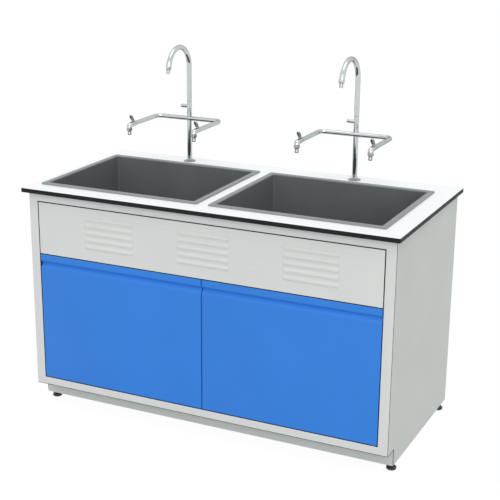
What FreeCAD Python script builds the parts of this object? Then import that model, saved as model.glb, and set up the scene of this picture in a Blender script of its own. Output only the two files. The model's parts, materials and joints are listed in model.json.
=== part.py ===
import FreeCAD, Part
import math
import os

# Laboratory sink unit: a steel base cabinet on levelling feet, a compact worktop with two drop-in
# bowls, a louvred service panel over two doors, and a three-way swan-neck tap behind each bowl.
# Millimetres. X to the right, Y to the back, Z up. Origin on the floor, centred under the worktop.

# ---- worktop ----
worktop_length = 1500.0
worktop_depth = 750.0
worktop_height = 900.0
core_thickness = 15.2
laminate_thickness = 0.8
worktop_corner_radius = 2.5

# ---- cabinet shell ----
side_overhang = 17.0
front_overhang = 26.0
rear_overhang = 13.0
sheet = 1.2
return_width = 18.0
side_corner_radius = 8.0
floor_gap = 30.0
plinth_height = 65.5
plinth_setback = 68.0
plinth_return = 20.0
shelf_rise = 20.5

# ---- front frame ----
stile_width = 37.5
frame_depth = 30.0
frame_wall = 1.5
top_rail_height = 34.5
bottom_rail_height = 30.8
mid_rail_height = 30.0
mid_rail_depth = 40.0
mid_rail_rise = 0.5
rear_rail_height = 30.0
rear_rail_depth = 25.0

# ---- base rails and levelling feet ----
base_rail_width = 34.0
base_rail_wall = 2.0
foot_inset_front = 38.0
foot_inset_rear = 35.5
foot_diameter = 37.0
foot_pad_height = 9.0
foot_cone_height = 6.0
foot_neck_diameter = 22.0
stem_diameter = 10.0
stem_reach = 45.0
foot_nut_flats = 17.0
foot_nut_height = 8.0

# ---- louvred service panel ----
panel_height = 203.0
panel_return = 12.0
louvres_per_group = 5
louvre_length = 208.0
louvre_height = 15.5
louvre_pitch = 27.3
louvre_raise = 4.0
louvre_lip = 3.0
louvre_top_drop = 31.5
louvre_centres = (-383.0, 10.0, 427.0)

# ---- doors ----
door_gap = 4.0
door_split_x = 4.5
door_thickness = 20.0
strip_height = 25.0
pull_height = 26.0
pull_depth = 10.0
pull_bulge = 2.6
pivot_inset_x = 14.0
pivot_inset_y = 8.0
pin_diameter = 6.0
pin_engagement = 15.0
bush_diameter = 10.0
bush_flange_diameter = 14.0
bush_flange_thickness = 3.0
catch_width = 36.0
catch_height = 14.0
catch_depth = 15.0
catch_inset = 34.0
strike_height = 9.0
strike_thickness = 1.0

# ---- back panel ----
service_width = 420.0
service_height = 180.0
service_bottom = 200.0
service_corner_radius = 12.0

# ---- sinks ----
sink_left_inset = 37.0
sink_right_inset = 77.0
sink_spacing = 46.0
sink_front_inset = 81.0
sink_rim_height = 6.0
sink_rim_width = 21.0
sink_rim_radius = 1.5
sink_rim_corner = 4.0
sink_wall = 5.0
sink_depth = 254.0
sink_corner_radius = 8.0
cutout_clearance = 3.0
clip_spacing = 300.0
clip_width = 30.0
clip_height = 20.0
clip_foot = 18.0
clip_metal = 3.0

# ---- waste, bottle trap and drain ----
drain_back_offset = 40.0
waste_flange_diameter = 70.0
waste_flange_thickness = 3.0
waste_tube_diameter = 50.0
waste_bore = 40.0
waste_length = 52.0
waste_hole_clearance = 1.0
waste_nut_diameter = 68.0
waste_nut_height = 10.0
strainer_thickness = 2.5
strainer_diameter = 46.0
strainer_hole = 5.0
strainer_ring_radii = (9.0, 17.0)
strainer_ring_counts = (6, 12)
trap_body_diameter = 70.0
trap_body_height = 95.0
trap_wall = 3.0
trap_drop = 12.0
trap_cup_diameter = 78.0
trap_cup_height = 34.0
trap_cup_overlap = 14.0
coupling_diameter = 62.0
coupling_height = 22.0
outlet_drop = 30.0
pipe_diameter = 40.0
pipe_bore = 36.0
pipe_socket_wall = 4.0
pipe_socket_length = 55.0
pipe_socket_depth = 20.0
grommet_wall = 4.0
grommet_overlap = 5.0
grommet_lip = 3.0

# ---- taps ----
tap_left_shift = -11.0
tap_right_shift = -3.5
tap_from_back = 63.5
tap_to_sink = 52.3
tap_hole_clearance = 0.6
column_diameter = 20.0
column_bore = 12.0
flange_diameter = 50.0
flange_height = 7.0
flange_edge = 2.0
collar_diameter = 28.0
collar_height = 2.5
shank_diameter = 20.9
shank_length = 35.0
tail_diameter = 15.0
tail_length = 26.0
tap_nut_flats = 32.0
tap_nut_height = 8.0
tap_washer_diameter = 38.0
tap_washer_thickness = 2.5
bar_height = 180.0
bar_diameter = 18.0
bar_bore = 15.0
bar_half_span = 145.0
bar_bend_radius = 25.0
bar_forward = 5.0
arm_reach = 203.0
swivel_height = 250.0
spigot_length = 20.0
neck_bore = 14.0
neck_centre_height = 391.5
neck_radius = 87.0
neck_sweep = 166.0
sleeve_sweep = 18.0
sleeve_thickness = 0.6
nozzle_hex_flats = 22.0
nozzle_hex_height = 10.4
nozzle_diameter = 16.0
nozzle_length = 15.7
nozzle_bore = 10.0
nozzle_shoulder = 2.0
lever_height = 229.0
lever_diameter = 15.0
lever_reach = 38.0
lever_pivot_inset = 4.0
lever_lift = 20.0
lever_cut_steps = 5
body_diameter = 20.5
body_socket = 6.0
bulb_diameter = 22.0
bulb_reach = 238.0
body_drop = 11.0
spindle_reach = 208.0
spindle_diameter = 6.0
spindle_depth = 7.0
paddle_hub_diameter = 15.0
paddle_hub_height = 4.0
paddle_width = 16.0
paddle_thickness = 7.0
paddle_rise = 26.0
paddle_lean = 21.0
paddle_round = 7.5

# ---- worktop screws ----
screw_diameter = 5.0
screw_head_diameter = 10.0
screw_head_height = 3.0
screw_bite = 10.0
screw_end_inset = 150.0
screw_count = 3

# ---- named clearances, and the distance under which two places count as one ----
running_gap = 0.05
free_gap = 0.3
stem_gap = 0.1
push_gap = 0.25
pass_gap = 0.75
same_place = 1e-6

# ---- places that follow from the sizes above ----
half_length = worktop_length / 2
half_depth = worktop_depth / 2
side_x = half_length - side_overhang
inner_x = side_x - sheet
front_y = -half_depth + front_overhang
rear_y = half_depth - rear_overhang
back_panel_y = rear_y - 2 * sheet
under_top = worktop_height - laminate_thickness - core_thickness
core_top = worktop_height - laminate_thickness
frame_bottom = floor_gap + plinth_height
frame_back_y = front_y + frame_depth
plinth_y = front_y + plinth_setback
opening_x = side_x - stile_width
opening_top = under_top - top_rail_height
opening_bottom = frame_bottom + bottom_rail_height
panel_x = opening_x - door_gap
panel_top = opening_top - door_gap
panel_bottom = panel_top - panel_height
door_top = panel_bottom - door_gap
door_bottom = opening_bottom + door_gap
door_back_y = front_y + door_thickness
mid_rail_bottom = panel_bottom + mid_rail_rise
mid_rail_front_y = front_y + sheet
mid_rail_back_y = mid_rail_front_y + mid_rail_depth
pivot_x = panel_x - pivot_inset_x
pivot_y = front_y + pivot_inset_y
base_rail_x = inner_x - base_rail_width / 2
rim_top = worktop_height + sink_rim_height
tap_y = half_depth - tap_from_back
sink_front_y = -half_depth + sink_front_inset
sink_width = tap_y - tap_to_sink - sink_front_y
sink_centre_y = sink_front_y + sink_width / 2
sink_length = (worktop_length - sink_left_inset - sink_spacing - sink_right_inset) / 2
sink_left_x = -half_length + sink_left_inset + sink_length / 2
sink_right_x = half_length - sink_right_inset - sink_length / 2
bowl_length = sink_length - 2 * sink_rim_width
bowl_width = sink_width - 2 * sink_rim_width
bowl_floor = rim_top - sink_depth
bowl_under = bowl_floor - sink_wall
drain_y = sink_centre_y + drain_back_offset
waste_bottom = bowl_under - waste_length
trap_top = waste_bottom - trap_drop
outlet_z = trap_top - outlet_drop
tap_left_x = sink_left_x + tap_left_shift
tap_right_x = sink_right_x + tap_right_shift
shank_bottom = worktop_height - shank_length
tail_bottom = shank_bottom - tail_length
grommet_bore = pipe_diameter + 2 * pass_gap
grommet_groove = grommet_bore + 2 * grommet_wall
screw_spacing = (worktop_length - 2 * screw_end_inset) / (screw_count - 1)

sides = (("left", -1), ("right", 1))
sinks = (sink_left_x, sink_right_x)
taps = (("left", tap_left_x), ("right", tap_right_x))


def vec(x, y, z):
    return FreeCAD.Vector(x, y, z)


x_axis = vec(1, 0, 0)
y_axis = vec(0, 1, 0)
z_axis = vec(0, 0, 1)


def block(x0, x1, y0, y1, z0, z1):
    """Box between two values on each axis, given in either order."""
    low = vec(min(x0, x1), min(y0, y1), min(z0, z1))
    return Part.makeBox(abs(x1 - x0), abs(y1 - y0), abs(z1 - z0), low)


def rod(diameter, length, base, axis=z_axis):
    return Part.makeCylinder(diameter / 2, length, base, axis)


def ring(outer, inner, length, base, axis=z_axis):
    return rod(outer, length, base, axis).cut(rod(inner, length, base, axis))


def outline(points):
    return Part.makePolygon(points + [points[0]])


def hexagon(flats, height, base, axis=z_axis):
    """Hexagonal prism that stands on base along axis, with two of its flats square to X."""
    side_angle = 2 * math.pi / 6
    across_corners = flats / math.cos(side_angle / 2)
    corners = []
    for step in range(6):
        angle = side_angle * (step + 0.5)
        corners.append(vec(math.cos(angle), math.sin(angle), 0) * (across_corners / 2))
    prism = Part.Face(outline(corners)).extrude(z_axis * height)
    prism.Placement = FreeCAD.Placement(base, FreeCAD.Rotation(z_axis, axis))
    return prism


def tube_along_x(x0, x1, y0, y1, z0, z1, wall):
    outer = block(x0, x1, y0, y1, z0, z1)
    return outer.cut(block(x0, x1, y0 + wall, y1 - wall, z0 + wall, z1 - wall))


def edges_along(shape, axis):
    found = []
    for edge in shape.Edges:
        span = edge.Vertexes[-1].Point - edge.Vertexes[0].Point
        if span.Length > 0 and abs(abs(span.normalize().dot(axis)) - 1) < same_place:
            found.append(edge)
    return found


def edges_at_height(shape, z):
    return [e for e in shape.Edges
            if abs(e.BoundBox.ZMin - z) < same_place and abs(e.BoundBox.ZMax - z) < same_place]


def save(name, *solids):
    shape = solids[0] if len(solids) == 1 else Part.makeCompound(list(solids))
    shape.exportStep("parts/%s.step" % name)


# ---- worktop ----
def worktop_slab(bottom, thickness):
    slab = block(-half_length, half_length, -half_depth, half_depth, bottom, bottom + thickness)
    slab = slab.makeFillet(worktop_corner_radius, edges_along(slab, z_axis))
    half_cut_x = bowl_length / 2 + sink_wall + cutout_clearance
    half_cut_y = bowl_width / 2 + sink_wall + cutout_clearance
    for x in sinks:
        cutout = block(x - half_cut_x, x + half_cut_x, sink_centre_y - half_cut_y,
                       sink_centre_y + half_cut_y, bottom, bottom + thickness)
        cutout = cutout.makeFillet(sink_corner_radius, edges_along(cutout, z_axis))
        slab = slab.cut(cutout)
    for _, x in taps:
        hole = rod(shank_diameter + 2 * tap_hole_clearance, thickness, vec(x, tap_y, bottom))
        slab = slab.cut(hole)
    return slab


def screw_places():
    """Bottom of each screw's rail, with the rail's centre in Y."""
    front = (opening_top, front_y + frame_depth / 2)
    rear = (under_top - rear_rail_height, back_panel_y - rear_rail_depth / 2)
    for rail_bottom, y in (front, rear):
        for step in range(screw_count):
            yield (step - (screw_count - 1) / 2) * screw_spacing, y, rail_bottom


def drill_for_screws(shape):
    for x, y, rail_bottom in screw_places():
        depth = under_top + screw_bite - rail_bottom
        shape = shape.cut(rod(screw_diameter, depth, vec(x, y, rail_bottom)))
    return shape


def worktop_screw(x, y, rail_bottom):
    head = rod(screw_head_diameter, screw_head_height, vec(x, y, rail_bottom - screw_head_height))
    shaft = rod(screw_diameter, under_top + screw_bite - rail_bottom, vec(x, y, rail_bottom))
    return head.fuse(shaft)


# ---- cabinet shell ----
def side_panel(sign):
    """Pressed side: a flat sheet with a toe notch, turned in along its top and rear edges."""
    notch = [vec(0, rear_y, floor_gap), vec(0, rear_y, under_top), vec(0, front_y + sheet, under_top),
             vec(0, front_y + sheet, frame_bottom), vec(0, plinth_y, frame_bottom),
             vec(0, plinth_y, floor_gap)]
    skin = Part.Face(outline(notch)).extrude(x_axis * sheet)
    corners = [e for e in edges_along(skin, x_axis) if abs(e.BoundBox.ZMin - floor_gap) < same_place]
    skin = skin.makeFillet(side_corner_radius, corners)
    skin.translate(vec(inner_x, 0, 0))
    turned_x = side_x - return_width
    top_return = block(turned_x, inner_x, frame_back_y, rear_y, under_top - sheet, under_top)
    rear_return = block(turned_x, inner_x, rear_y - sheet, rear_y,
                        floor_gap + side_corner_radius, under_top)
    panel = skin.fuse([top_return, rear_return]).removeSplitter()
    return panel if sign > 0 else panel.mirror(vec(0, 0, 0), x_axis)


def drain_holes(diameter):
    return [rod(diameter, 2 * sheet, vec(x, back_panel_y - sheet / 2, outlet_z), y_axis) for x in sinks]


def back_panel():
    panel = block(-inner_x, inner_x, back_panel_y, back_panel_y + sheet, floor_gap, under_top - sheet)
    service = block(-service_width / 2, service_width / 2, back_panel_y, back_panel_y + sheet,
                    service_bottom, service_bottom + service_height)
    service = service.makeFillet(service_corner_radius, edges_along(service, y_axis))
    return panel.cut([service] + drain_holes(grommet_groove))


def base_shelf():
    top = frame_bottom + shelf_rise
    tray = block(-inner_x, inner_x, frame_back_y, back_panel_y, frame_bottom, top)
    hollow = block(-inner_x + sheet, inner_x - sheet, frame_back_y + sheet, back_panel_y - sheet,
                   frame_bottom, top - sheet)
    return tray.cut(hollow)


def plinth_panel():
    face = block(-inner_x, inner_x, plinth_y, plinth_y + sheet, floor_gap, frame_bottom)
    between_rails = inner_x - base_rail_width
    top_return = block(-between_rails, between_rails, plinth_y, plinth_y + plinth_return,
                       frame_bottom - sheet, frame_bottom)
    return face.fuse(top_return).removeSplitter()


# ---- front frame ----
def front_stile(sign):
    outer = block(sign * opening_x, sign * inner_x, front_y, frame_back_y, frame_bottom, under_top)
    hollow = block(sign * (opening_x + frame_wall), sign * (inner_x - frame_wall), front_y + frame_wall,
                   frame_back_y - frame_wall, frame_bottom, under_top)
    return outer.cut(hollow)


def front_rail(z0, z1):
    return tube_along_x(-opening_x, opening_x, front_y, frame_back_y, z0, z1, frame_wall)


def mid_rail():
    return tube_along_x(-opening_x, opening_x, mid_rail_front_y, mid_rail_back_y, mid_rail_bottom,
                        mid_rail_bottom + mid_rail_height, frame_wall)


def rear_top_rail():
    end = side_x - return_width
    return tube_along_x(-end, end, back_panel_y - rear_rail_depth, back_panel_y,
                        under_top - rear_rail_height, under_top, frame_wall)


# ---- base rails and levelling feet ----
def foot_places():
    return (("front", plinth_y + foot_inset_front), ("rear", rear_y - foot_inset_rear))


def base_rail(sign):
    x0 = inner_x - base_rail_width
    rail = block(x0, inner_x, plinth_y + sheet, back_panel_y, floor_gap, frame_bottom)
    rail = rail.cut(block(x0 + base_rail_wall, inner_x - base_rail_wall, plinth_y + sheet, back_panel_y,
                          floor_gap + base_rail_wall, frame_bottom - base_rail_wall))
    for _, y in foot_places():
        rail = rail.cut(rod(stem_diameter + 2 * stem_gap, base_rail_wall, vec(base_rail_x, y, floor_gap)))
    return rail if sign > 0 else rail.mirror(vec(0, 0, 0), x_axis)


def levelling_foot(x, y):
    """Pad with a coned top, a hexagonal neck and a threaded stem, turned as one piece."""
    pad = rod(foot_diameter, foot_pad_height, vec(x, y, 0))
    cone = Part.makeCone(foot_diameter / 2, foot_neck_diameter / 2, foot_cone_height,
                         vec(x, y, foot_pad_height))
    shoulder = foot_pad_height + foot_cone_height
    stem = rod(stem_diameter, stem_reach, vec(x, y, shoulder))
    return pad.fuse([cone, stem]).removeSplitter()


def foot_nut(x, y):
    nut = hexagon(foot_nut_flats, foot_nut_height, vec(x, y, floor_gap - foot_nut_height))
    return nut.cut(rod(stem_diameter + 2 * stem_gap, foot_nut_height,
                       vec(x, y, floor_gap - foot_nut_height)))


# ---- louvred service panel ----
def louvre_hood(x0, top):
    """Pressed hood: a roof that slopes out to a short front lip, closed at its ends."""
    bottom = top - louvre_height
    proud = front_y - louvre_raise
    points = [vec(x0, front_y, top), vec(x0, proud, bottom + louvre_lip), vec(x0, proud, bottom),
              vec(x0, front_y, bottom)]
    return Part.Face(outline(points)).extrude(x_axis * louvre_length)


def louvre_slot(x0, top):
    """Space under the hood, which runs back through the sheet and is open below."""
    bottom = top - louvre_height
    inside = front_y - louvre_raise + sheet
    points = [vec(x0, front_y + sheet, top - louvre_lip), vec(x0, front_y, top - louvre_lip),
              vec(x0, inside, bottom + louvre_lip), vec(x0, inside, bottom),
              vec(x0, front_y + sheet, bottom)]
    slot = Part.Face(outline(points)).extrude(x_axis * (louvre_length - 2 * sheet))
    slot.translate(x_axis * sheet)
    return slot


def louvre_places():
    for centre in louvre_centres:
        for row in range(louvres_per_group):
            yield centre - louvre_length / 2, panel_top - louvre_top_drop - row * louvre_pitch


def louvre_panel():
    face = block(-panel_x, panel_x, front_y, front_y + sheet, panel_bottom, panel_top)
    turned_y = front_y + sheet + panel_return
    above_rail = mid_rail_bottom + mid_rail_height + free_gap
    pieces = [block(-panel_x, panel_x, front_y, turned_y, panel_top - sheet, panel_top)]
    for _, sign in sides:
        pieces.append(block(sign * panel_x, sign * (panel_x - sheet), front_y, turned_y,
                            above_rail, panel_top))
    hoods = [louvre_hood(x, top) for x, top in louvre_places()]
    slots = [louvre_slot(x, top) for x, top in louvre_places()]
    return face.fuse(pieces + hoods).removeSplitter().cut(slots)


# ---- doors ----
def door_span(sign):
    """Inner and outer edge of a door in X, from the seam to its hinge side."""
    return door_split_x + sign * door_gap / 2, sign * panel_x


def door_section(x):
    """Closed outline in the YZ plane: flat face, finger pull under a top strip, square back."""
    strip_z = door_top - strip_height
    pull_z = strip_z - pull_height
    lip = vec(x, front_y + pull_depth, strip_z)
    foot = vec(x, front_y, pull_z)
    chord = foot - lip
    inward = vec(0, -chord.z, chord.y).normalize()
    middle = (lip + foot) * 0.5 + inward * pull_bulge
    corners = [foot, vec(x, front_y, door_bottom), vec(x, door_back_y, door_bottom),
               vec(x, door_back_y, door_top), vec(x, front_y, door_top), vec(x, front_y, strip_z), lip]
    edges = [Part.LineSegment(a, b).toShape() for a, b in zip(corners, corners[1:])]
    edges.append(Part.Arc(lip, middle, foot).toShape())
    return Part.Wire(edges)


def door_skin(sign):
    """Folded sheet: front, edges and ends, open at the back where the liner closes it."""
    x0, x1 = sorted(door_span(sign))
    wire = door_section(x0)
    outer = Part.Face(wire).extrude(x_axis * (x1 - x0))
    core = Part.Face(wire.makeOffset2D(-sheet)).extrude(x_axis * (x1 - x0 - 2 * sheet))
    core.translate(x_axis * sheet)
    back = block(x0 + sheet, x1 - sheet, door_back_y - sheet, door_back_y,
                 door_bottom + sheet, door_top - sheet)
    holes = [rod(bush_diameter, door_gap, vec(sign * pivot_x, pivot_y, z)) for z in
             (door_bottom - door_gap + sheet, door_top - sheet)]
    return outer.cut([core, back] + holes)


def door_liner(sign):
    x0, x1 = sorted(door_span(sign))
    return block(x0 + sheet, x1 - sheet, door_back_y - sheet, door_back_y,
                 door_bottom + sheet, door_top - sheet)


def door_bush(sign, edge_z, way):
    """Flanged bush let into the door's edge; way is +1 on the top edge and -1 on the bottom."""
    base = vec(sign * pivot_x, pivot_y, edge_z)
    bore = pin_diameter + 2 * running_gap
    barrel = ring(bush_diameter, bore, pin_engagement, base, z_axis * -way)
    flange = ring(bush_flange_diameter, bore, bush_flange_thickness, base, z_axis * way)
    return barrel.fuse(flange).removeSplitter()


def hinge_pin(sign, edge_z, way, rail_height):
    start = vec(sign * pivot_x, pivot_y, edge_z - way * pin_engagement)
    length = pin_engagement + door_gap + rail_height
    if way > 0:
        length += mid_rail_rise
    return rod(pin_diameter, length, start, z_axis * way)


def hinge_pins():
    return [hinge_pin(sign, z, way, height) for _, sign in sides for z, way, height in
            ((door_top, 1, mid_rail_height), (door_bottom, -1, bottom_rail_height))]


def catch_x(sign):
    return door_split_x + sign * catch_inset


def magnet_catch(sign):
    """Catch under the mid rail, a free gap behind the strike plate of its door."""
    face_y = door_back_y + strike_thickness + free_gap
    x = catch_x(sign)
    return block(x - catch_width / 2, x + catch_width / 2, face_y, face_y + catch_depth,
                 mid_rail_bottom - catch_height, mid_rail_bottom)


def strike_plate(sign):
    x = catch_x(sign)
    top = door_top - sheet
    return block(x - catch_width / 2, x + catch_width / 2, door_back_y, door_back_y + strike_thickness,
                 top - strike_height, top)


# ---- sinks ----
def sink(x):
    """One-piece bowl with a flat rim that rests on the worktop."""
    rim = block(x - sink_length / 2, x + sink_length / 2, sink_front_y, sink_front_y + sink_width,
                worktop_height, rim_top)
    rim = rim.makeFillet(sink_rim_corner, edges_along(rim, z_axis))
    rim = rim.makeFillet(sink_rim_radius, edges_at_height(rim, rim_top))
    half_x = bowl_length / 2
    half_y = bowl_width / 2
    outer_x = half_x + sink_wall
    outer_y = half_y + sink_wall
    tub = block(x - outer_x, x + outer_x, sink_centre_y - outer_y, sink_centre_y + outer_y,
                bowl_under, worktop_height)
    tub = tub.makeFillet(sink_corner_radius, edges_along(tub, z_axis) + edges_at_height(tub, bowl_under))
    hollow = block(x - half_x, x + half_x, sink_centre_y - half_y, sink_centre_y + half_y,
                   bowl_floor, rim_top)
    inner_radius = sink_corner_radius - sink_wall
    hollow = hollow.makeFillet(inner_radius, edges_along(hollow, z_axis) +
                               edges_at_height(hollow, bowl_floor))
    hole = rod(waste_tube_diameter + 2 * waste_hole_clearance, sink_wall, vec(x, drain_y, bowl_under))
    return rim.fuse(tub).removeSplitter().cut([hollow, hole])


def sink_clips(x):
    """Angle clips under the worktop that hold the bowl's front and back walls."""
    outer_y = bowl_width / 2 + sink_wall
    clips = []
    for way in (-1, 1):
        for step in (-0.5, 0.5):
            cx = x + step * clip_spacing
            wall_y = sink_centre_y + way * outer_y
            upright = block(cx - clip_width / 2, cx + clip_width / 2, wall_y, wall_y + way * clip_metal,
                            under_top - clip_height, under_top)
            foot = block(cx - clip_width / 2, cx + clip_width / 2, wall_y, wall_y + way * clip_foot,
                         under_top - clip_metal, under_top)
            clips.append(upright.fuse(foot).removeSplitter())
    return clips


# ---- waste, bottle trap and drain ----
def sink_waste(x):
    flange = ring(waste_flange_diameter, waste_bore, waste_flange_thickness, vec(x, drain_y, bowl_floor))
    recess = rod(strainer_diameter, strainer_thickness,
                 vec(x, drain_y, bowl_floor + waste_flange_thickness - strainer_thickness))
    flange = flange.cut(recess)
    tube = ring(waste_tube_diameter, waste_bore, bowl_floor - waste_bottom, vec(x, drain_y, waste_bottom))
    return flange.fuse(tube).removeSplitter()


def waste_nut(x):
    return ring(waste_nut_diameter, waste_tube_diameter, waste_nut_height,
                vec(x, drain_y, bowl_under - waste_nut_height))


def waste_strainer(x):
    base = vec(x, drain_y, bowl_floor + waste_flange_thickness - strainer_thickness)
    disc = rod(strainer_diameter, strainer_thickness, base)
    holes = [rod(strainer_hole, strainer_thickness, base)]
    for radius, count in zip(strainer_ring_radii, strainer_ring_counts):
        for step in range(count):
            angle = 2 * math.pi * step / count
            offset = vec(math.cos(angle), math.sin(angle), 0) * radius
            holes.append(rod(strainer_hole, strainer_thickness, base + offset))
    return disc.cut(holes)


def trap_body(x):
    """Bottle trap: inlet neck, hollow bottle open below, and a socket towards the back."""
    bottom = trap_top - trap_body_height
    inner = trap_body_diameter - 2 * trap_wall
    bottle = rod(trap_body_diameter, trap_body_height, vec(x, drain_y, bottom))
    neck = rod(waste_tube_diameter, trap_drop, vec(x, drain_y, trap_top))
    socket_diameter = pipe_diameter + 2 * pipe_socket_wall
    socket = rod(socket_diameter, pipe_socket_length, vec(x, drain_y, outlet_z), y_axis)
    hollow = rod(inner, trap_body_height - trap_wall, vec(x, drain_y, bottom))
    inlet = rod(waste_bore, trap_drop + trap_wall, vec(x, drain_y, trap_top - trap_wall))
    way_out = rod(pipe_bore, pipe_socket_length, vec(x, drain_y, outlet_z), y_axis)
    seat_y = drain_y + pipe_socket_length - pipe_socket_depth
    seat = rod(pipe_diameter + 2 * push_gap, pipe_socket_depth, vec(x, seat_y, outlet_z), y_axis)
    return bottle.fuse([neck, socket]).cut([hollow, inlet, way_out, seat])


def trap_cup(x):
    bottom = trap_top - trap_body_height
    base = vec(x, drain_y, bottom - trap_cup_height + trap_cup_overlap)
    cup = rod(trap_cup_diameter, trap_cup_height, base)
    seat = rod(trap_body_diameter, trap_cup_overlap, vec(x, drain_y, bottom))
    well_top = trap_cup_height - trap_cup_overlap - trap_wall
    well = rod(trap_body_diameter - 2 * trap_wall, well_top, base + z_axis * trap_wall)
    return cup.cut([seat, well])


def coupling_nut(x):
    return ring(coupling_diameter, waste_tube_diameter, coupling_height,
                vec(x, drain_y, waste_bottom - coupling_height / 2))


def drain_grommet(x):
    """Rubber ring with a groove that takes the back panel's edge, in line with the trap's socket."""
    start_y = back_panel_y - grommet_lip
    length = sheet + 2 * grommet_lip
    outer = grommet_groove + 2 * grommet_overlap
    body = ring(outer, grommet_bore, length, vec(x, start_y, outlet_z), y_axis)
    groove = ring(outer, grommet_groove, sheet, vec(x, back_panel_y, outlet_z), y_axis)
    return body.cut(groove)


# ---- taps: every function takes the tap's X and measures heights from the worktop ----
def tap_point(x, dx, dy, height):
    return vec(x + dx, tap_y + dy, worktop_height + height)


def pipe_along(edges, diameter):
    """Round bar carried along joined lines and arcs."""
    path = Part.Wire(edges)
    start = path.OrderedVertexes[0].Point
    first = path.OrderedEdges[0]
    heading = first.tangentAt(first.FirstParameter)
    section = Part.Wire(Part.makeCircle(diameter / 2, start, heading))
    return path.makePipeShell([section], True, False)


def tap_flange(x):
    """Domed cover plate over the column's collar."""
    hug = column_diameter / 2 + running_gap
    edge = flange_diameter / 2
    room = collar_diameter / 2 + free_gap
    under = collar_height + free_gap
    points = [vec(room, 0, 0), vec(edge, 0, 0), vec(edge, 0, flange_edge), vec(hug, 0, flange_height),
              vec(hug, 0, under), vec(room, 0, under)]
    plate = Part.Face(outline(points)).revolve(vec(0, 0, 0), z_axis, 360)
    plate.translate(tap_point(x, 0, 0, 0))
    return plate


def lever_rod(x, diameter, tilt, reach):
    """Rod with round ends that points to -X from its pivot inside the column, lifted by tilt."""
    pivot = tap_point(x, -lever_pivot_inset, 0, lever_height)
    way = vec(-math.cos(math.radians(tilt)), 0, math.sin(math.radians(tilt)))
    bar = rod(diameter, reach, pivot, way)
    root = Part.makeSphere(diameter / 2, pivot)
    return bar, root, pivot + way * reach


def tap_lever(x):
    tip_radius = lever_diameter / 2
    bar, root, end = lever_rod(x, lever_diameter, 0, lever_reach - lever_pivot_inset - tip_radius)
    return bar.fuse([root, Part.makeSphere(tip_radius, end)]).removeSplitter()


def lever_clearance(x):
    """Space that the lever sweeps through in the column."""
    loose = lever_diameter + 2 * free_gap
    swept = []
    for step in range(lever_cut_steps):
        tilt = lever_lift * step / (lever_cut_steps - 1)
        bar, root, _ = lever_rod(x, loose, tilt, column_diameter)
        swept += [bar, root]
    return swept


def arm_path(x):
    """Centre line of the U-shaped outlet tube: arm, bend, crossbar, bend, arm."""
    bend = bar_bend_radius
    chamfer = bend * (1 - math.cos(math.radians(45)))
    edges = []
    for sign in (-1, 1):
        far = tap_point(x, sign * bar_half_span, -arm_reach, bar_height)
        arm_end = tap_point(x, sign * bar_half_span, -bar_forward - bend, bar_height)
        bar_end = tap_point(x, sign * (bar_half_span - bend), -bar_forward, bar_height)
        middle = tap_point(x, sign * (bar_half_span - chamfer), -bar_forward - chamfer, bar_height)
        if sign < 0:
            edges += [Part.LineSegment(far, arm_end).toShape(), Part.Arc(arm_end, middle, bar_end).toShape()]
            last = bar_end
        else:
            edges += [Part.LineSegment(last, bar_end).toShape(), Part.Arc(bar_end, middle, arm_end).toShape(),
                      Part.LineSegment(arm_end, far).toShape()]
    return edges


def tap_arms(x):
    return pipe_along(arm_path(x), bar_diameter).cut(pipe_along(arm_path(x), bar_bore))


def tap_column(x):
    """Plain tail, threaded shank, collar, column and the spigot that the swan neck turns on."""
    shank = rod(shank_diameter, shank_length, vec(x, tap_y, shank_bottom))
    collar = rod(collar_diameter, collar_height, tap_point(x, 0, 0, 0))
    column = rod(column_diameter, swivel_height - collar_height, tap_point(x, 0, 0, collar_height))
    spigot = rod(neck_bore, spigot_length, tap_point(x, 0, 0, swivel_height))
    tail = rod(tail_diameter, tail_length, vec(x, tap_y, tail_bottom))
    solid = shank.fuse([tail, collar, column, spigot]).removeSplitter()
    bore = rod(column_bore, worktop_height + bar_height - bar_diameter - tail_bottom,
               vec(x, tap_y, tail_bottom))
    saddle = rod(bar_diameter, 2 * collar_diameter, tap_point(x, -collar_diameter, -bar_forward, bar_height),
                 x_axis)
    return solid.cut([bore, saddle] + lever_clearance(x))


def tap_washer_and_nut(x):
    washer_top = under_top
    nut_top = washer_top - tap_washer_thickness
    washer = ring(tap_washer_diameter, shank_diameter, tap_washer_thickness, vec(x, tap_y, nut_top))
    base = vec(x, tap_y, nut_top - tap_nut_height)
    nut = hexagon(tap_nut_flats, tap_nut_height, base).cut(rod(shank_diameter, tap_nut_height, base))
    return [washer, nut]


def neck_point(x, sweep):
    """Point on the swan neck's arc, sweep degrees on from the top of its straight part."""
    angle = math.radians(sweep)
    dy = neck_radius * (math.cos(angle) - 1)
    return tap_point(x, 0, dy, neck_centre_height + neck_radius * math.sin(angle))


def neck_heading(sweep):
    angle = math.radians(sweep)
    return vec(0, -math.sin(angle), math.cos(angle))


def neck_arc(x, start, end):
    return Part.Arc(neck_point(x, start), neck_point(x, (start + end) / 2), neck_point(x, end)).toShape()


def gooseneck(x):
    """Swan neck tube: bored at its foot to turn on the column's spigot."""
    foot = tap_point(x, 0, 0, swivel_height + free_gap)
    path = [Part.LineSegment(foot, neck_point(x, 0)).toShape(), neck_arc(x, 0, neck_sweep)]
    tube = pipe_along(path, column_diameter).cut(pipe_along(path, neck_bore))
    socket = rod(neck_bore + 2 * running_gap, spigot_length + free_gap, foot)
    return tube.cut(socket)


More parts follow.
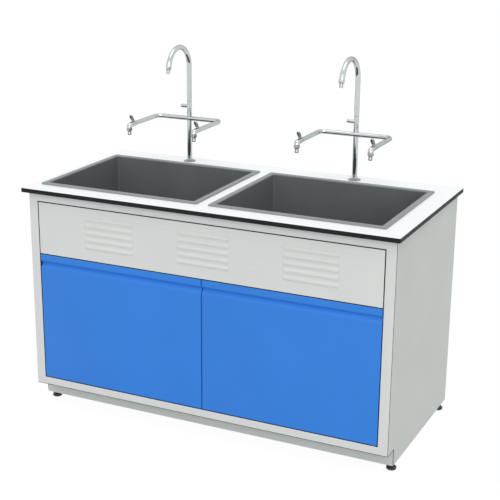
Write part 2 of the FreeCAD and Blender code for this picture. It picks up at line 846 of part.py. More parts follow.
def nozzle(end, heading, sleeve_end=None):
    """Hexagon, shoulder and plain hose end along heading, bored through."""
    hexagonal = hexagon(nozzle_hex_flats, nozzle_hex_height, end, heading)
    shoulder_base = end + heading * nozzle_hex_height
    shoulder = Part.makeCone(nozzle_hex_flats / 2, nozzle_diameter / 2, nozzle_shoulder, shoulder_base,
                             heading)
    tip = rod(nozzle_diameter, nozzle_length, shoulder_base + heading * nozzle_shoulder, heading)
    bore_length = nozzle_hex_height + nozzle_shoulder + nozzle_length
    body = hexagonal.fuse([shoulder, tip]).cut(rod(nozzle_bore, bore_length, end, heading))
    return body


def gooseneck_nozzle(x):
    """Sleeve round the neck's mouth, carried on as the nozzle."""
    path = [neck_arc(x, neck_sweep - sleeve_sweep, neck_sweep)]
    sleeve = pipe_along(path, column_diameter + 2 * sleeve_thickness)
    sleeve = sleeve.cut(pipe_along(path, column_diameter))
    end = nozzle(neck_point(x, neck_sweep), neck_heading(neck_sweep))
    return sleeve.fuse(end).removeSplitter()


def bib_places(x):
    return [(x, sign * bar_half_span) for sign in (-1, 1)]


def bib_body(x, dx):
    """Valve body on an arm's end: barrel, round nose, outlet below and a hole for the spindle."""
    start = -arm_reach + body_socket
    length = bulb_reach + start
    barrel = rod(body_diameter, length, tap_point(x, dx, start, bar_height), y_axis * -1)
    nose = Part.makeSphere(bulb_diameter / 2, tap_point(x, dx, -bulb_reach, bar_height))
    outlet = rod(body_diameter, body_drop, tap_point(x, dx, -bulb_reach, bar_height - body_drop))
    socket = rod(bar_diameter, body_socket, tap_point(x, dx, start, bar_height), y_axis * -1)
    water = rod(nozzle_bore, bulb_reach - arm_reach, tap_point(x, dx, -arm_reach, bar_height), y_axis * -1)
    drop = rod(nozzle_bore, body_drop, tap_point(x, dx, -bulb_reach, bar_height - body_drop))
    spindle_base = bar_height + body_diameter / 2 - spindle_depth
    seat = rod(spindle_diameter + 2 * running_gap, spindle_depth + body_diameter,
               tap_point(x, dx, -spindle_reach, spindle_base))
    return barrel.fuse([nose, outlet]).removeSplitter().cut([socket, water, drop, seat])


def bib_nozzle(x, dx):
    return nozzle(tap_point(x, dx, -bulb_reach, bar_height - body_drop), z_axis * -1)


def bib_lever(x, dx):
    """Paddle that leans forward from a hub, on a spindle that turns in the valve body."""
    hub_base = bar_height + body_diameter / 2 + free_gap
    hub = rod(paddle_hub_diameter, paddle_hub_height, tap_point(x, dx, -spindle_reach, hub_base))
    spindle = rod(spindle_diameter, spindle_depth, tap_point(x, dx, -spindle_reach, hub_base - spindle_depth))
    half = paddle_width / 2
    slope = math.hypot(paddle_rise, paddle_lean)
    across = vec(0, paddle_rise / slope, paddle_lean / slope) * (paddle_thickness / 2)
    low = tap_point(x, dx - half, -spindle_reach, hub_base + paddle_hub_height / 2)
    high = low + vec(0, -paddle_lean, paddle_rise)
    blade = Part.Face(outline([low - across, high - across, high + across, low + across]))
    blade = blade.extrude(x_axis * paddle_width)
    top_edges = [e for e in blade.Edges if abs(e.Length - paddle_thickness) < same_place and
                 e.BoundBox.ZMax > high.z]
    blade = blade.makeFillet(paddle_round, top_edges)
    below = block(x + dx - half, x + dx + half, tap_y - spindle_reach - half, tap_y - spindle_reach + half,
                  worktop_height + hub_base - paddle_thickness, worktop_height + hub_base)
    return hub.fuse([spindle, blade.cut(below)]).removeSplitter()


# ---- write every piece ----
os.makedirs("parts", exist_ok=True)

save("worktop_core", drill_for_screws(worktop_slab(under_top, core_thickness)))
save("worktop_laminate", worktop_slab(core_top, laminate_thickness))
save("worktop_screws", *[worktop_screw(*place) for place in screw_places()])
for side, sign in sides:
    save("side_panel_" + side, side_panel(sign))
    save("front_stile_" + side, front_stile(sign))
save("back_panel", back_panel())
save("base_shelf", base_shelf())
save("plinth_panel", plinth_panel())
save("front_top_rail", drill_for_screws(front_rail(opening_top, under_top)))
save("front_bottom_rail", front_rail(frame_bottom, opening_bottom).cut(hinge_pins()))
save("mid_rail", mid_rail().cut(hinge_pins()))
save("rear_top_rail", drill_for_screws(rear_top_rail()))
save("base_rails", *[base_rail(sign) for _, sign in sides])
save("louvre_panel", louvre_panel())
save("hinge_pins", *hinge_pins())
save("magnet_catches", *[magnet_catch(sign) for _, sign in sides])

nuts = []
for side, sign in sides:
    for end, y in foot_places():
        save("levelling_foot_%s_%s" % (end, side), levelling_foot(sign * base_rail_x, y))
        nuts.append(foot_nut(sign * base_rail_x, y))
save("foot_nuts", *nuts)

for side, sign in sides:
    save("door_skin_" + side, door_skin(sign))
    save("door_liner_" + side, door_liner(sign))
    save("door_bushes_" + side, door_bush(sign, door_top, 1), door_bush(sign, door_bottom, -1))
    save("strike_plate_" + side, strike_plate(sign))

save("sink_left", sink(sink_left_x))
save("sink_right", sink(sink_right_x))
save("sink_clips", *[clip for x in sinks for clip in sink_clips(x)])
save("sink_wastes", *[sink_waste(x) for x in sinks])
save("waste_nuts", *[waste_nut(x) for x in sinks])
save("waste_strainers", *[waste_strainer(x) for x in sinks])
save("trap_bodies", *[trap_body(x) for x in sinks])
save("trap_cups", *[trap_cup(x) for x in sinks])
save("coupling_nuts", *[coupling_nut(x) for x in sinks])
save("drain_grommets", *[drain_grommet(x) for x in sinks])

save("tap_flanges", *[tap_flange(x) for _, x in taps])
save("tap_lock_nuts", *[piece for _, x in taps for piece in tap_washer_and_nut(x)])
save("bib_bodies", *[bib_body(*place) for _, x in taps for place in bib_places(x)])
save("bib_nozzles", *[bib_nozzle(*place) for _, x in taps for place in bib_places(x)])
for side, x in taps:
    save("tap_column_" + side, tap_column(x))
    save("tap_arms_" + side, tap_arms(x))
    save("gooseneck_" + side, gooseneck(x))
    save("gooseneck_nozzle_" + side, gooseneck_nozzle(x))
    save("tap_lever_" + side, tap_lever(x))
    for hand, place in zip(("left", "right"), bib_places(x)):
        save("bib_lever_%s_%s" % (side, hand), bib_lever(*place))
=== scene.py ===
import json
import math
import bmesh
import bpy
import numpy as np
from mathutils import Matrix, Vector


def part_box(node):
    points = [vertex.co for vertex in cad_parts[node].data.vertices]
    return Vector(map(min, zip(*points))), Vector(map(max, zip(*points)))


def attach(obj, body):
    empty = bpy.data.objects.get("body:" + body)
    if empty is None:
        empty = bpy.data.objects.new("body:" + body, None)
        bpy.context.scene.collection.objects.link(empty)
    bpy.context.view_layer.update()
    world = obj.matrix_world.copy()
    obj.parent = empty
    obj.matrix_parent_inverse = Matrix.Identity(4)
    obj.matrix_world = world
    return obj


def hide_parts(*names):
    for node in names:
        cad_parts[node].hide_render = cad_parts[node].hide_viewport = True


# Laboratory sink unit: finishes, and rounded sheet metal, bowls and taps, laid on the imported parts.
# Metres throughout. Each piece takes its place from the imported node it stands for.

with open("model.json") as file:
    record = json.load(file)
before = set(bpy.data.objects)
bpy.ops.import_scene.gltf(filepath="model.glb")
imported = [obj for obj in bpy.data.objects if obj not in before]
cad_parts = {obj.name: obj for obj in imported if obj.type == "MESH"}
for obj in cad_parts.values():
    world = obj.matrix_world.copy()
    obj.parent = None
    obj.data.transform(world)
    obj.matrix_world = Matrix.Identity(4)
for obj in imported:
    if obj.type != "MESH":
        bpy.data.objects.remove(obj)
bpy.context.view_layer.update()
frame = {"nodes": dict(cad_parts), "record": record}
mm = 0.001
weld = 0.001 * mm  # points closer than this are one
flush = 0.01 * mm  # planes closer than this are one
tiny = 1e-12  # keeps an edge without length from dividing by zero
join = np.concatenate
sides = ("left", "right")
print("frame loaded:", len(frame["nodes"]), "parts")


def span(node):
    low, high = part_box(node)
    return np.array(low), np.array(high)


def arc(centre, radius, start, end, steps):
    # points of an arc in a plane: centre plus radius times (cos, sin), angles in degrees
    angle = np.radians(np.linspace(start, end, steps + 1))
    return np.stack([centre[0] + radius * np.cos(angle), centre[1] + radius * np.sin(angle)], 1)


def quarter(steps):
    # angles of a quarter turn, in radians
    return np.radians(np.linspace(0, 90, steps + 1))


def rounded(corners, radii, steps=6, closed=True):
    # polygon whose corners become arcs: a conic from one tangent point to the next, weighted by the
    # sine of half the corner's angle, which makes it a true circle
    p = np.asarray(corners, float)
    r = np.broadcast_to(radii, len(p))
    before = np.roll(p, 1, 0) - p
    after = np.roll(p, -1, 0) - p
    before /= np.linalg.norm(before, axis=1, keepdims=True)
    after /= np.linalg.norm(after, axis=1, keepdims=True)
    half = np.arccos(np.clip((before * after).sum(1), -1, 1)) / 2
    reach = (r / np.tan(half))[:, None]
    t = np.linspace(0, 1, steps + 1)[None, :, None]
    w = np.sin(half)[:, None, None]
    a, b, c = (p + before * reach)[:, None], p[:, None], (p + after * reach)[:, None]
    top = a * (1 - t) ** 2 + 2 * w * b * t * (1 - t) + c * t ** 2
    bottom = (1 - t) ** 2 + 2 * w * t * (1 - t) + t ** 2
    points = (top / bottom).reshape(-1, 2)
    if not closed:
        points = points[steps:-steps]
    return points


def inset(outline, amount):
    # closed outline moved inwards along the mean normal of its two neighbouring edges
    ahead = np.roll(outline, -1, 0) - outline
    behind = outline - np.roll(outline, 1, 0)
    ahead /= np.maximum(np.linalg.norm(ahead, axis=1, keepdims=True), tiny)
    behind /= np.maximum(np.linalg.norm(behind, axis=1, keepdims=True), tiny)
    along = ahead + behind
    along /= np.linalg.norm(along, axis=1, keepdims=True)
    turning = np.sign((outline[:, 0] * np.roll(outline[:, 1], -1)
                       - outline[:, 1] * np.roll(outline[:, 0], -1)).sum())
    return outline + turning * amount * np.stack([-along[:, 1], along[:, 0]], 1)


def rectangleRings(halfX, halfY, radius, steps=6):
    # rounded rectangles, one for each entry: four corner arcs, each about its own centre
    halfX, halfY, radius = (v[:, None] for v in np.broadcast_arrays(*np.atleast_1d(halfX, halfY, radius)))
    angle = (np.radians(90 * np.arange(4))[:, None] + quarter(steps)[None]).ravel()[None]
    signX = np.repeat([1, -1, -1, 1], steps + 1)[None]
    signY = np.repeat([1, 1, -1, -1], steps + 1)[None]
    return np.stack([signX * (halfX - radius) + radius * np.cos(angle),
                     signY * (halfY - radius) + radius * np.sin(angle)], 2)


def ringsAt(flat, centre, height):
    # flat outlines lifted to their heights over a centre
    z = np.broadcast_to(np.asarray(height)[:, None], flat.shape[:2])
    return np.stack([flat[..., 0] + centre[0], flat[..., 1] + centre[1], z], 2)


def turnedRings(profile, centre, steps=48, spread=None):
    # surface of revolution about Z: radius times (cos, sin); spread changes it by angle and height
    profile = np.asarray(profile, float)
    angle = np.linspace(0, 2 * np.pi, steps, endpoint=False)[None]
    radius = profile[:, :1] * np.ones_like(angle)
    if spread is not None:
        radius = spread(radius, angle, profile[:, 1:])
    return np.stack([centre[0] + radius * np.cos(angle), centre[1] + radius * np.sin(angle),
                     centre[2] + profile[:, 1:] + 0 * angle], 2)


def tubeRings(path, radius, side, steps=28):
    # circles carried along a path in a plane: side is the plane's normal, the other spoke is the
    # path's heading turned onto it
    heading = np.gradient(path, axis=0)
    heading /= np.linalg.norm(heading, axis=1, keepdims=True)
    up = np.cross(heading, side)
    angle = np.linspace(0, 2 * np.pi, steps, endpoint=False)
    radius = np.broadcast_to(radius, len(path))[:, None, None]
    spokes = side * np.cos(angle)[None, :, None] + up[:, None] * np.sin(angle)[None, :, None]
    return path[:, None] + radius * spokes


def tilted(rings, origin, heading):
    # turns a shape made along Z about the world's origin so that Z points along heading, at origin
    z = np.asarray(heading, float) / np.linalg.norm(heading)
    x = np.cross((0.0, 1.0, 0.0) if abs(z[1]) < 0.9 else (1.0, 0.0, 0.0), z)
    x /= np.linalg.norm(x)
    y = np.cross(z, x)
    return rings @ np.stack([x, y, z]) + origin


def placed(name, data):
    made = bpy.data.objects.new(name, data)
    bpy.context.scene.collection.objects.link(made)
    return made


class Shape:
    # gathers grids of points into one mesh; a face's tone is the number of its finish
    def __init__(self):
        self.points, self.faces, self.tones, self.count = [], [], [], 0

    def add(self, grid, wrapRows=False, wrapColumns=True, caps=(), keep=None, tone=0):
        # a face between each four neighbouring points of the grid, and over its seam where it wraps
        rows, columns = grid.shape[:2]
        i = np.arange(rows if wrapRows else rows - 1)[:, None]
        j = np.arange(columns if wrapColumns else columns - 1)[None]
        nextI, nextJ = (i + 1) % rows, (j + 1) % columns
        corners = [i * columns + j, i * columns + nextJ, nextI * columns + nextJ, nextI * columns + j]
        faces = np.stack(corners, 2).reshape(-1, 4) + self.count
        if keep is not None:
            faces = faces[keep.ravel()]
        self.faces += faces.tolist()
        self.tones += np.broadcast_to(tone, (len(faces),)).tolist()
        for row in caps:
            start = self.count + (row % rows) * columns
            self.faces.append(list(range(start, start + columns)))
            self.tones.append(0 if np.ndim(tone) else tone)
        self.points.append(grid.reshape(-1, 3))
        self.count += rows * columns
        return self

    def make(self, name, body, finishes, slot, replaces, sharp=38, facing=None, sheet=0):
        # welds seams, turns faces outwards, or an open sheet towards facing with its thickness behind,
        # and smooths all but the edges sharper than so many degrees
        mesh = bpy.data.meshes.new(name)
        mesh.from_pydata(join(self.points).tolist(), [], self.faces)
        for finish in finishes if isinstance(finishes, list) else [finishes]:
            mesh.materials.append(finish)
        mesh.polygons.foreach_set("material_index", np.array(self.tones, np.int32))
        work = bmesh.new()
        work.from_mesh(mesh)
        bmesh.ops.remove_doubles(work, verts=work.verts, dist=weld)
        bmesh.ops.dissolve_degenerate(work, edges=work.edges, dist=weld / 2)
        if facing is None:
            bmesh.ops.recalc_face_normals(work, faces=work.faces)
        elif sum(f.calc_area() * f.normal.dot(facing) for f in work.faces) < 0:
            bmesh.ops.reverse_faces(work, faces=work.faces)
        if sheet:
            bmesh.ops.solidify(work, geom=work.faces[:], thickness=sheet)
        work.to_mesh(mesh)
        work.free()
        mesh.shade_smooth()
        mesh.set_sharp_from_angle(angle=math.radians(sharp))
        piece = placed(name, mesh)
        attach(piece, body)
        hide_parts(*replaces)


def newNode(tree, kind, values):
    made = tree.nodes.new(kind)
    for socket, value in values.items():
        made.inputs[socket].default_value = value
    return made


class Nodes:
    # short hand for wiring a material, whose patterns lie on the object's own coordinates
    def __init__(self, name):
        self.material = bpy.data.materials.new(name)
        self.material.use_nodes = True
        self.tree = self.material.node_tree
        self.shader = self.tree.nodes["Principled BSDF"]
        self.place = self.tree.nodes.new("ShaderNodeTexCoord").outputs["Object"]

    def node(self, kind, values):
        return newNode(self.tree, kind, values)

    def link(self, source, target):
        self.tree.links.new(source, target)

    def stretched(self, scale):
        mapping = self.node("ShaderNodeMapping", {"Scale": scale})
        self.link(self.place, mapping.inputs["Vector"])
        return mapping.outputs["Vector"]

    def noise(self, scale, detail=3, roughness=0.5, place=None):
        made = self.node("ShaderNodeTexNoise", {"Scale": scale, "Detail": detail, "Roughness": roughness})
        self.link(place or self.place, made.inputs["Vector"])
        return made.outputs["Fac"]

    def ranged(self, value, low, high, fromLow=0.3, fromHigh=0.7):
        made = self.node("ShaderNodeMapRange", {
            "From Min": fromLow, "From Max": fromHigh, "To Min": low, "To Max": high})
        self.link(value, made.inputs["Value"])
        return made.outputs["Result"]

    def colour(self, value, colours, *limits):
        # runs from the first colour to the second; sockets 0, 6 and 7 are the mix's share and colours
        made = self.tree.nodes.new("ShaderNodeMix")
        made.data_type = "RGBA"
        self.link(self.ranged(value, 0, 1, *limits), made.inputs[0])
        for socket, colour in zip((6, 7), colours):
            made.inputs[socket].default_value = (*colour, 1)
        self.link(made.outputs[2], self.shader.inputs["Base Color"])

    def rough(self, value, gloss, *limits):
        self.link(self.ranged(value, *gloss, *limits), self.shader.inputs["Roughness"])

    def bump(self, height, strength, distance, under=None):
        made = self.node("ShaderNodeBump", {"Strength": strength, "Distance": distance})
        self.link(height, made.inputs["Height"])
        if under:
            self.link(under, made.inputs["Normal"])
        self.link(made.outputs["Normal"], self.shader.inputs["Normal"])
        return made.outputs["Normal"]

    def set(self, socket, value):
        self.shader.inputs[socket].default_value = value


def tones(colour, darker, lighter=None):
    # the colour made darker and lighter by two shares, or by the same one
    lighter = darker if lighter is None else lighter
    return [tuple(min(1.0, c * factor) for c in colour) for factor in (1 - darker, 1 + lighter)]


def powderCoat(name, look):
    # sprayed and baked powder: even colour with faint clouds, and a fine orange-peel skin
    skin = dict(patches=9, peelScale=420, peelDeep=0.12 * mm, grainScale=1700, grainDeep=0.04 * mm)
    n = Nodes(name)
    n.colour(n.noise(look["cloudScale"], 2), tones(look["colour"], look["clouding"]))
    n.rough(n.noise(skin["patches"]), look["gloss"])
    peel = n.bump(n.noise(skin["peelScale"], 2, 0.4), look["peel"], skin["peelDeep"])
    n.bump(n.noise(skin["grainScale"], 1), look["grain"], skin["grainDeep"], peel)
    n.set("Specular IOR Level", look["shine"])
    return n.material


def whiteLaminate():
    # melamine face: white with faint cool clouds, and a pearl texture that breaks up the gloss
    look = dict(
        white=(0.93, 0.95, 0.96), cool=(0.89, 0.925, 0.94), cloudScale=3, gloss=(0.38, 0.5),
        glossScale=60, texture=900, textureDeep=0.05 * mm, strength=0.15)
    n = Nodes("whiteLaminate")
    n.colour(n.noise(look["cloudScale"]), (look["white"], look["cool"]))
    n.rough(n.noise(look["glossScale"], 4), look["gloss"])
    n.bump(n.noise(look["texture"], 2), look["strength"], look["textureDeep"])
    return n.material


def phenolicEdge():
    # compact board: near-black resin with paper layers pressed flat, seen as hair-thin bands
    look = dict(
        dark=(0.008, 0.009, 0.0105), layer=(0.019, 0.020, 0.022), layersPerMetre=900, along=12,
        gloss=(0.45, 0.6), glossScale=40, strength=0.12, deep=0.08 * mm, shine=0.15)
    n = Nodes("phenolicEdge")
    bands = n.noise(1, 2, 0.5, n.stretched((look["along"], look["along"], look["layersPerMetre"])))
    n.colour(bands, (look["dark"], look["layer"]))
    n.rough(n.noise(look["glossScale"]), look["gloss"])
    n.bump(bands, look["strength"], look["deep"])
    n.set("Specular IOR Level", look["shine"])
    return n.material


def bowlPlastic(name, look):
    # moulded polypropylene: dull, with slow swirls of tone, a fine sand-blasted skin and slow waves
    skin = dict(
        swirlScale=6, swirl=0.06, glossScale=30, grain=0.25, grainScale=1100, grainDeep=0.06 * mm,
        waves=0.06, waveScale=14, waveDeep=0.6 * mm, shine=0.2)
    n = Nodes(name)
    n.colour(n.noise(skin["swirlScale"], 4, 0.6), tones(look["colour"], skin["swirl"]))
    n.rough(n.noise(skin["glossScale"]), look["gloss"])
    grain = n.bump(n.noise(skin["grainScale"], 2, 0.6), skin["grain"], skin["grainDeep"])
    n.bump(n.noise(skin["waveScale"], 2), skin["waves"], skin["waveDeep"], grain)
    n.set("Specular IOR Level", skin["shine"])
    return n.material


def chromePlate():
    # polished plate over brass: bright, with a faint haze and the slight waves of buffing
    look = dict(
        metal=(0.60, 0.628, 0.63), haze=(0.55, 0.578, 0.58), edge=(0.5, 0.52, 0.53, 1), hazeScale=18,
        gloss=(0.06, 0.12), waveScale=30, waves=0.03, waveDeep=0.2 * mm)
    n = Nodes("chromePlate")
    haze = n.noise(look["hazeScale"], 4, 0.6)
    n.colour(haze, (look["metal"], look["haze"]))
    n.rough(haze, look["gloss"])
    n.bump(n.noise(look["waveScale"], 2), look["waves"], look["waveDeep"])
    n.set("Metallic", 1)
    n.set("Specular Tint", look["edge"])
    return n.material


def zincSheet(name, look):
    # plated steel: crystals of slightly different tone and gloss under a thin haze
    haze = dict(scale=300, strength=0.1, deep=0.1 * mm, darker=0.18, lighter=0.1)
    n = Nodes(name)
    crystals = n.node("ShaderNodeTexVoronoi", {"Scale": look["crystals"]})
    n.link(n.place, crystals.inputs["Vector"])
    tone = n.node("ShaderNodeSeparateColor", {})
    n.link(crystals.outputs["Color"], tone.inputs["Color"])
    n.colour(tone.outputs["Red"], tones(look["colour"], haze["darker"], haze["lighter"]), 0, 1)
    n.rough(tone.outputs["Green"], look["gloss"], 0, 1)
    n.bump(n.noise(haze["scale"]), haze["strength"], haze["deep"])
    n.set("Metallic", 1)
    return n.material


def turnedMetal(name, look):
    # machined metal: fine rings round the axis, as a tool leaves them
    groove = dict(darker=0.15, strength=0.15, deep=0.06 * mm)
    n = Nodes(name)
    rings = n.noise(1, 2, 0.5, n.stretched(look["stretch"]))
    n.colour(rings, tones(look["colour"], groove["darker"], 0))
    n.rough(rings, look["gloss"])
    n.bump(rings, groove["strength"], groove["deep"])
    n.set("Metallic", 1)
    return n.material


def mouldedBlack(name, look):
    # moulded black part: soft grain, slightly greyed where handled, with a worn sheen
    skin = dict(glossScale=80, strength=0.3, deep=0.08 * mm)
    n = Nodes(name)
    n.colour(n.noise(look["dustScale"], 5, 0.65), (look["colour"], (look["dust"],) * 3))
    n.rough(n.noise(skin["glossScale"]), look["gloss"])
    n.bump(n.noise(look["grain"], 2), skin["strength"], skin["deep"])
    return n.material


steelCoat = dict(clouding=0.012, gloss=(0.42, 0.5), peel=0.18, grain=0.2, shine=0.4)
framePaint = powderCoat("framePaint", dict(steelCoat, colour=(0.712, 0.722, 0.706), cloudScale=5))
cabinetPaint = powderCoat("cabinetPaint", dict(steelCoat, colour=(0.60, 0.637, 0.612), cloudScale=4))
doorPaint = powderCoat("doorPaint", dict(
    colour=(0.029, 0.218, 0.735), clouding=0.02, cloudScale=5, gloss=(0.36, 0.44), peel=0.15, grain=0.12,
    shine=0.35))
laminateFace = whiteLaminate()
boardCore = phenolicEdge()
rimPlastic = bowlPlastic("rimPlastic", dict(colour=(0.26, 0.275, 0.275), gloss=(0.42, 0.52)))
tubPlastic = bowlPlastic("tubPlastic", dict(colour=(0.134, 0.144, 0.147), gloss=(0.5, 0.6)))
chrome = chromePlate()
coverMetal = turnedMetal("coverMetal", dict(
    colour=(0.33, 0.34, 0.34), stretch=(500, 500, 30), gloss=(0.3, 0.42)))
satinMetal = turnedMetal("satinMetal", dict(
    colour=(0.44, 0.455, 0.455), stretch=(60, 60, 900), gloss=(0.24, 0.36)))
zinc = zincSheet("zincSteel", dict(colour=(0.62, 0.63, 0.65), crystals=160, gloss=(0.3, 0.5)))
strainerSteel = turnedMetal("strainerSteel", dict(
    colour=(0.6, 0.61, 0.62), stretch=(40, 40, 2500), gloss=(0.2, 0.34)))
screwSteel = zincSheet("screwSteel", dict(colour=(0.55, 0.56, 0.58), crystals=900, gloss=(0.28, 0.42)))
tapBrass = turnedMetal("tapBrass", dict(
    colour=(0.70, 0.52, 0.25), stretch=(60, 60, 1800), gloss=(0.24, 0.4)))
footNylon = mouldedBlack("footNylon", dict(
    colour=(0.012, 0.012, 0.013), dust=0.03, dustScale=60, gloss=(0.35, 0.5), grain=1500))
bushNylon = mouldedBlack("bushNylon", dict(
    colour=(0.06, 0.06, 0.06), dust=0.1, dustScale=90, gloss=(0.4, 0.55), grain=2000))
wastePlastic = mouldedBlack("wastePlastic", dict(
    colour=(0.035, 0.035, 0.038), dust=0.075, dustScale=25, gloss=(0.35, 0.5), grain=1200))
grommetRubber = mouldedBlack("grommetRubber", dict(
    colour=(0.015, 0.015, 0.015), dust=0.04, dustScale=70, gloss=(0.6, 0.75), grain=1800))
# painted shade: a near-black finish laid on gap walls, turned edges and beads where there is only shade
paintedShadeDark = mouldedBlack("paintedShadeDark", dict(
    colour=(0.02, 0.02, 0.021), dust=0.05, dustScale=40, gloss=(0.6, 0.75), grain=1600))
slotFinish = {
    "worktop_core": boardCore, "worktop_laminate": laminateFace, "steel_screws": screwSteel,
    "cabinet_paint": cabinetPaint, "frame_paint": framePaint, "foot_rubber": footNylon,
    "zinc_steel": zinc, "door_paint": doorPaint, "nylon": bushNylon, "sink_plastic": tubPlastic,
    "waste_plastic": wastePlastic, "strainer_steel": strainerSteel, "grommet_rubber": grommetRubber,
    "chrome": chrome, "tap_brass": tapBrass,
}
print("finishes made:", len(slotFinish))

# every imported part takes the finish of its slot
for part in frame["record"]["subparts"]:
    materials = frame["nodes"][part["node"]].data.materials
    materials.clear()
    materials.append(slotFinish[part["material_slot"]])


def softened(node, name, body, slot, radius, edge=None, outermost=False):
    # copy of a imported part: its triangles are welded and joined into flat faces, then its edges are
    # rounded, or only those of its outermost plane in X; the rounding may take a finish of its own
    look = dict(flat=math.radians(1), corner=math.radians(30), segments=2, evenness=100)
    mesh = frame["nodes"][node].data.copy()
    mesh.name = name
    mesh.materials.clear()
    mesh.materials.append(slotFinish[slot])
    work = bmesh.new()
    work.from_mesh(mesh)
    bmesh.ops.remove_doubles(work, verts=work.verts, dist=flush)
    bmesh.ops.dissolve_limit(work, angle_limit=look["flat"], verts=work.verts, edges=work.edges)
    bmesh.ops.recalc_face_normals(work, faces=work.faces)
    work.to_mesh(mesh)
    work.free()
    mesh.polygons.foreach_set("material_index", np.zeros(len(mesh.polygons), np.int32))
    mesh.shade_smooth()
    piece = placed(name, mesh)
    bevel = piece.modifiers.new("edge", "BEVEL")
    bevel.width = radius
    bevel.segments = look["segments"]
    bevel.limit_method = "ANGLE"
    bevel.angle_limit = look["corner"]
    bevel.harden_normals = True
    if edge:
        mesh.materials.append(edge)
        bevel.material = 1
    if outermost:
        bevel.limit_method = "WEIGHT"
        places = np.zeros(len(mesh.vertices) * 3)
        mesh.vertices.foreach_get("co", places)
        across = np.abs(places[::3])
        ends = np.zeros(len(mesh.edges) * 2, np.int32)
        mesh.edges.foreach_get("vertices", ends)
        onPlane = (across[ends] > across.max() - flush).reshape(-1, 2).all(1)
        weight = mesh.attributes.new("bevel_weight_edge", "FLOAT", "EDGE")
        weight.data.foreach_set("value", onPlane.astype(np.float32))
    even = piece.modifiers.new("even", "WEIGHTED_NORMAL")
    even.weight = look["evenness"]
    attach(piece, body)
    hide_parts(node)


def breakSheetEdges():
    # the side panels' outermost edges take a near-black finish as painted shade; the laminate's rounded edge
    # takes the core's finish
    edges = dict(side=1.1 * mm, sheet=0.4 * mm, core=1.2 * mm, laminate=0.6 * mm)
    softened("worktop_core", "boardCore", "cabinet", "worktop_core", edges["core"])
    softened("worktop_laminate", "laminateFace", "cabinet", "worktop_laminate", edges["laminate"], boardCore)
    # painted shade: the rounding of each side panel's outermost edges takes the near-black finish
    for side in sides:
        softened("side_panel_" + side, side + "Side", "cabinet", "cabinet_paint", edges["side"],
                 edge=paintedShadeDark, outermost=True)
    for node, name in (("plinth_panel", "plinth"), ("back_panel", "backPanel"), ("base_shelf", "baseShelf")):
        softened(node, name, "cabinet", "cabinet_paint", edges["sheet"])
    softened("mid_rail", "midRail", "cabinet", "frame_paint", edges["sheet"])


breakSheetEdges()
print("sheet edges broken")


def placeCamera():
    look = dict(
        place=(1.89918, -4.00081, 2.02944), azimuth=26.678, elevation=17.786, lens=86.70, sensor=36,
        shift=(0.0680, 0.0221), farthest=200)
    camera = bpy.data.cameras.new("camera")
    camera.lens = look["lens"]
    camera.sensor_width = look["sensor"]
    camera.shift_x, camera.shift_y = look["shift"]
    camera.clip_end = look["farthest"]
    eye = placed("camera", camera)
    eye.location = look["place"]
    eye.rotation_euler = (math.radians(90 - look["elevation"]), 0, math.radians(look["azimuth"]))
    bpy.context.scene.camera = eye


def emptyTree(owner):
    owner.use_nodes = True
    owner.node_tree.nodes.clear()
    return owner.node_tree


def seenByEye(tree):
    # 1 for rays that show the background itself: camera, glossy and transmission rays
    path = tree.nodes.new("ShaderNodeLightPath")
    total = path.outputs["Is Camera Ray"]
    for name in ("Is Glossy Ray", "Is Transmission Ray"):
        larger = tree.nodes.new("ShaderNodeMath")
        larger.operation = "MAXIMUM"
        tree.links.new(total, larger.inputs[0])
        tree.links.new(path.outputs[name], larger.inputs[1])
        total = larger.outputs[0]
    return total


def showMixed(tree, share, first, second, outKind):
    # the tree's surface: the first shader, and the second by its share
    mixed = tree.nodes.new("ShaderNodeMixShader")
    for source, target in zip((share, first.outputs[0], second.outputs[0]), mixed.inputs):
        tree.links.new(source, target)
    tree.links.new(mixed.outputs[0], tree.nodes.new(outKind).inputs["Surface"])


def whiteSurround():
    # soft light on the parts, and plain white where the surround itself is seen
    look = dict(light=0.70, tint=(0.99, 0.997, 1.0))
    world = bpy.data.worlds.new("surround")
    bpy.context.scene.world = world
    tree = emptyTree(world)
    soft = newNode(tree, "ShaderNodeBackground", {"Color": (*look["tint"], 1), "Strength": look["light"]})
    white = newNode(tree, "ShaderNodeBackground", {"Color": (1, 1, 1, 1)})
    showMixed(tree, seenByEye(tree), soft, white, "ShaderNodeOutputWorld")


def paleFloor():
    # diffuse floor that keeps a faint shadow, lifted to white where it is seen directly
    look = dict(half=40, sunk=0.2 * mm, colour=(0.56, 0.56, 0.56), lift=0.9, white=1.07)
    square = np.array([[-1, -1, 0], [1, -1, 0], [1, 1, 0], [-1, 1, 0]]) * look["half"] - (0, 0, look["sunk"])
    mesh = bpy.data.meshes.new("floor")
    mesh.from_pydata(square.tolist(), [], [[0, 1, 2, 3]])
    material = bpy.data.materials.new("paleFloor")
    tree = emptyTree(material)
    matt = newNode(tree, "ShaderNodeBsdfDiffuse", {"Color": (*look["colour"], 1)})
    white = newNode(tree, "ShaderNodeEmission", {"Strength": look["white"]})
    share = tree.nodes.new("ShaderNodeMath")
    share.operation = "MULTIPLY"
    share.inputs[1].default_value = look["lift"]
    tree.links.new(seenByEye(tree), share.inputs[0])
    showMixed(tree, share.outputs[0], matt, white, "ShaderNodeOutputMaterial")
    mesh.materials.append(material)
    floor = placed("floor", mesh)


def softLamp(name, look):
    # broad, distant lamp, which lights every part alike
    light = bpy.data.lights.new(name, "SUN")
    light.energy = look["strength"]
    light.angle = math.radians(look["spread"])
    lamp = placed(name, light)
    lamp.rotation_euler = (math.radians(90 - look["elevation"]), 0, math.radians(look["azimuth"]))


bpy.context.scene.view_settings.view_transform = "Standard"
placeCamera()
whiteSurround()
paleFloor()
softLamp("frontLamp", dict(azimuth=25, elevation=20, strength=0.95, spread=40))
softLamp("topLamp", dict(azimuth=0, elevation=85, strength=0.72, spread=50))
print("camera, floor and lamps placed")

frontY = span("front_stile_left")[0][1]


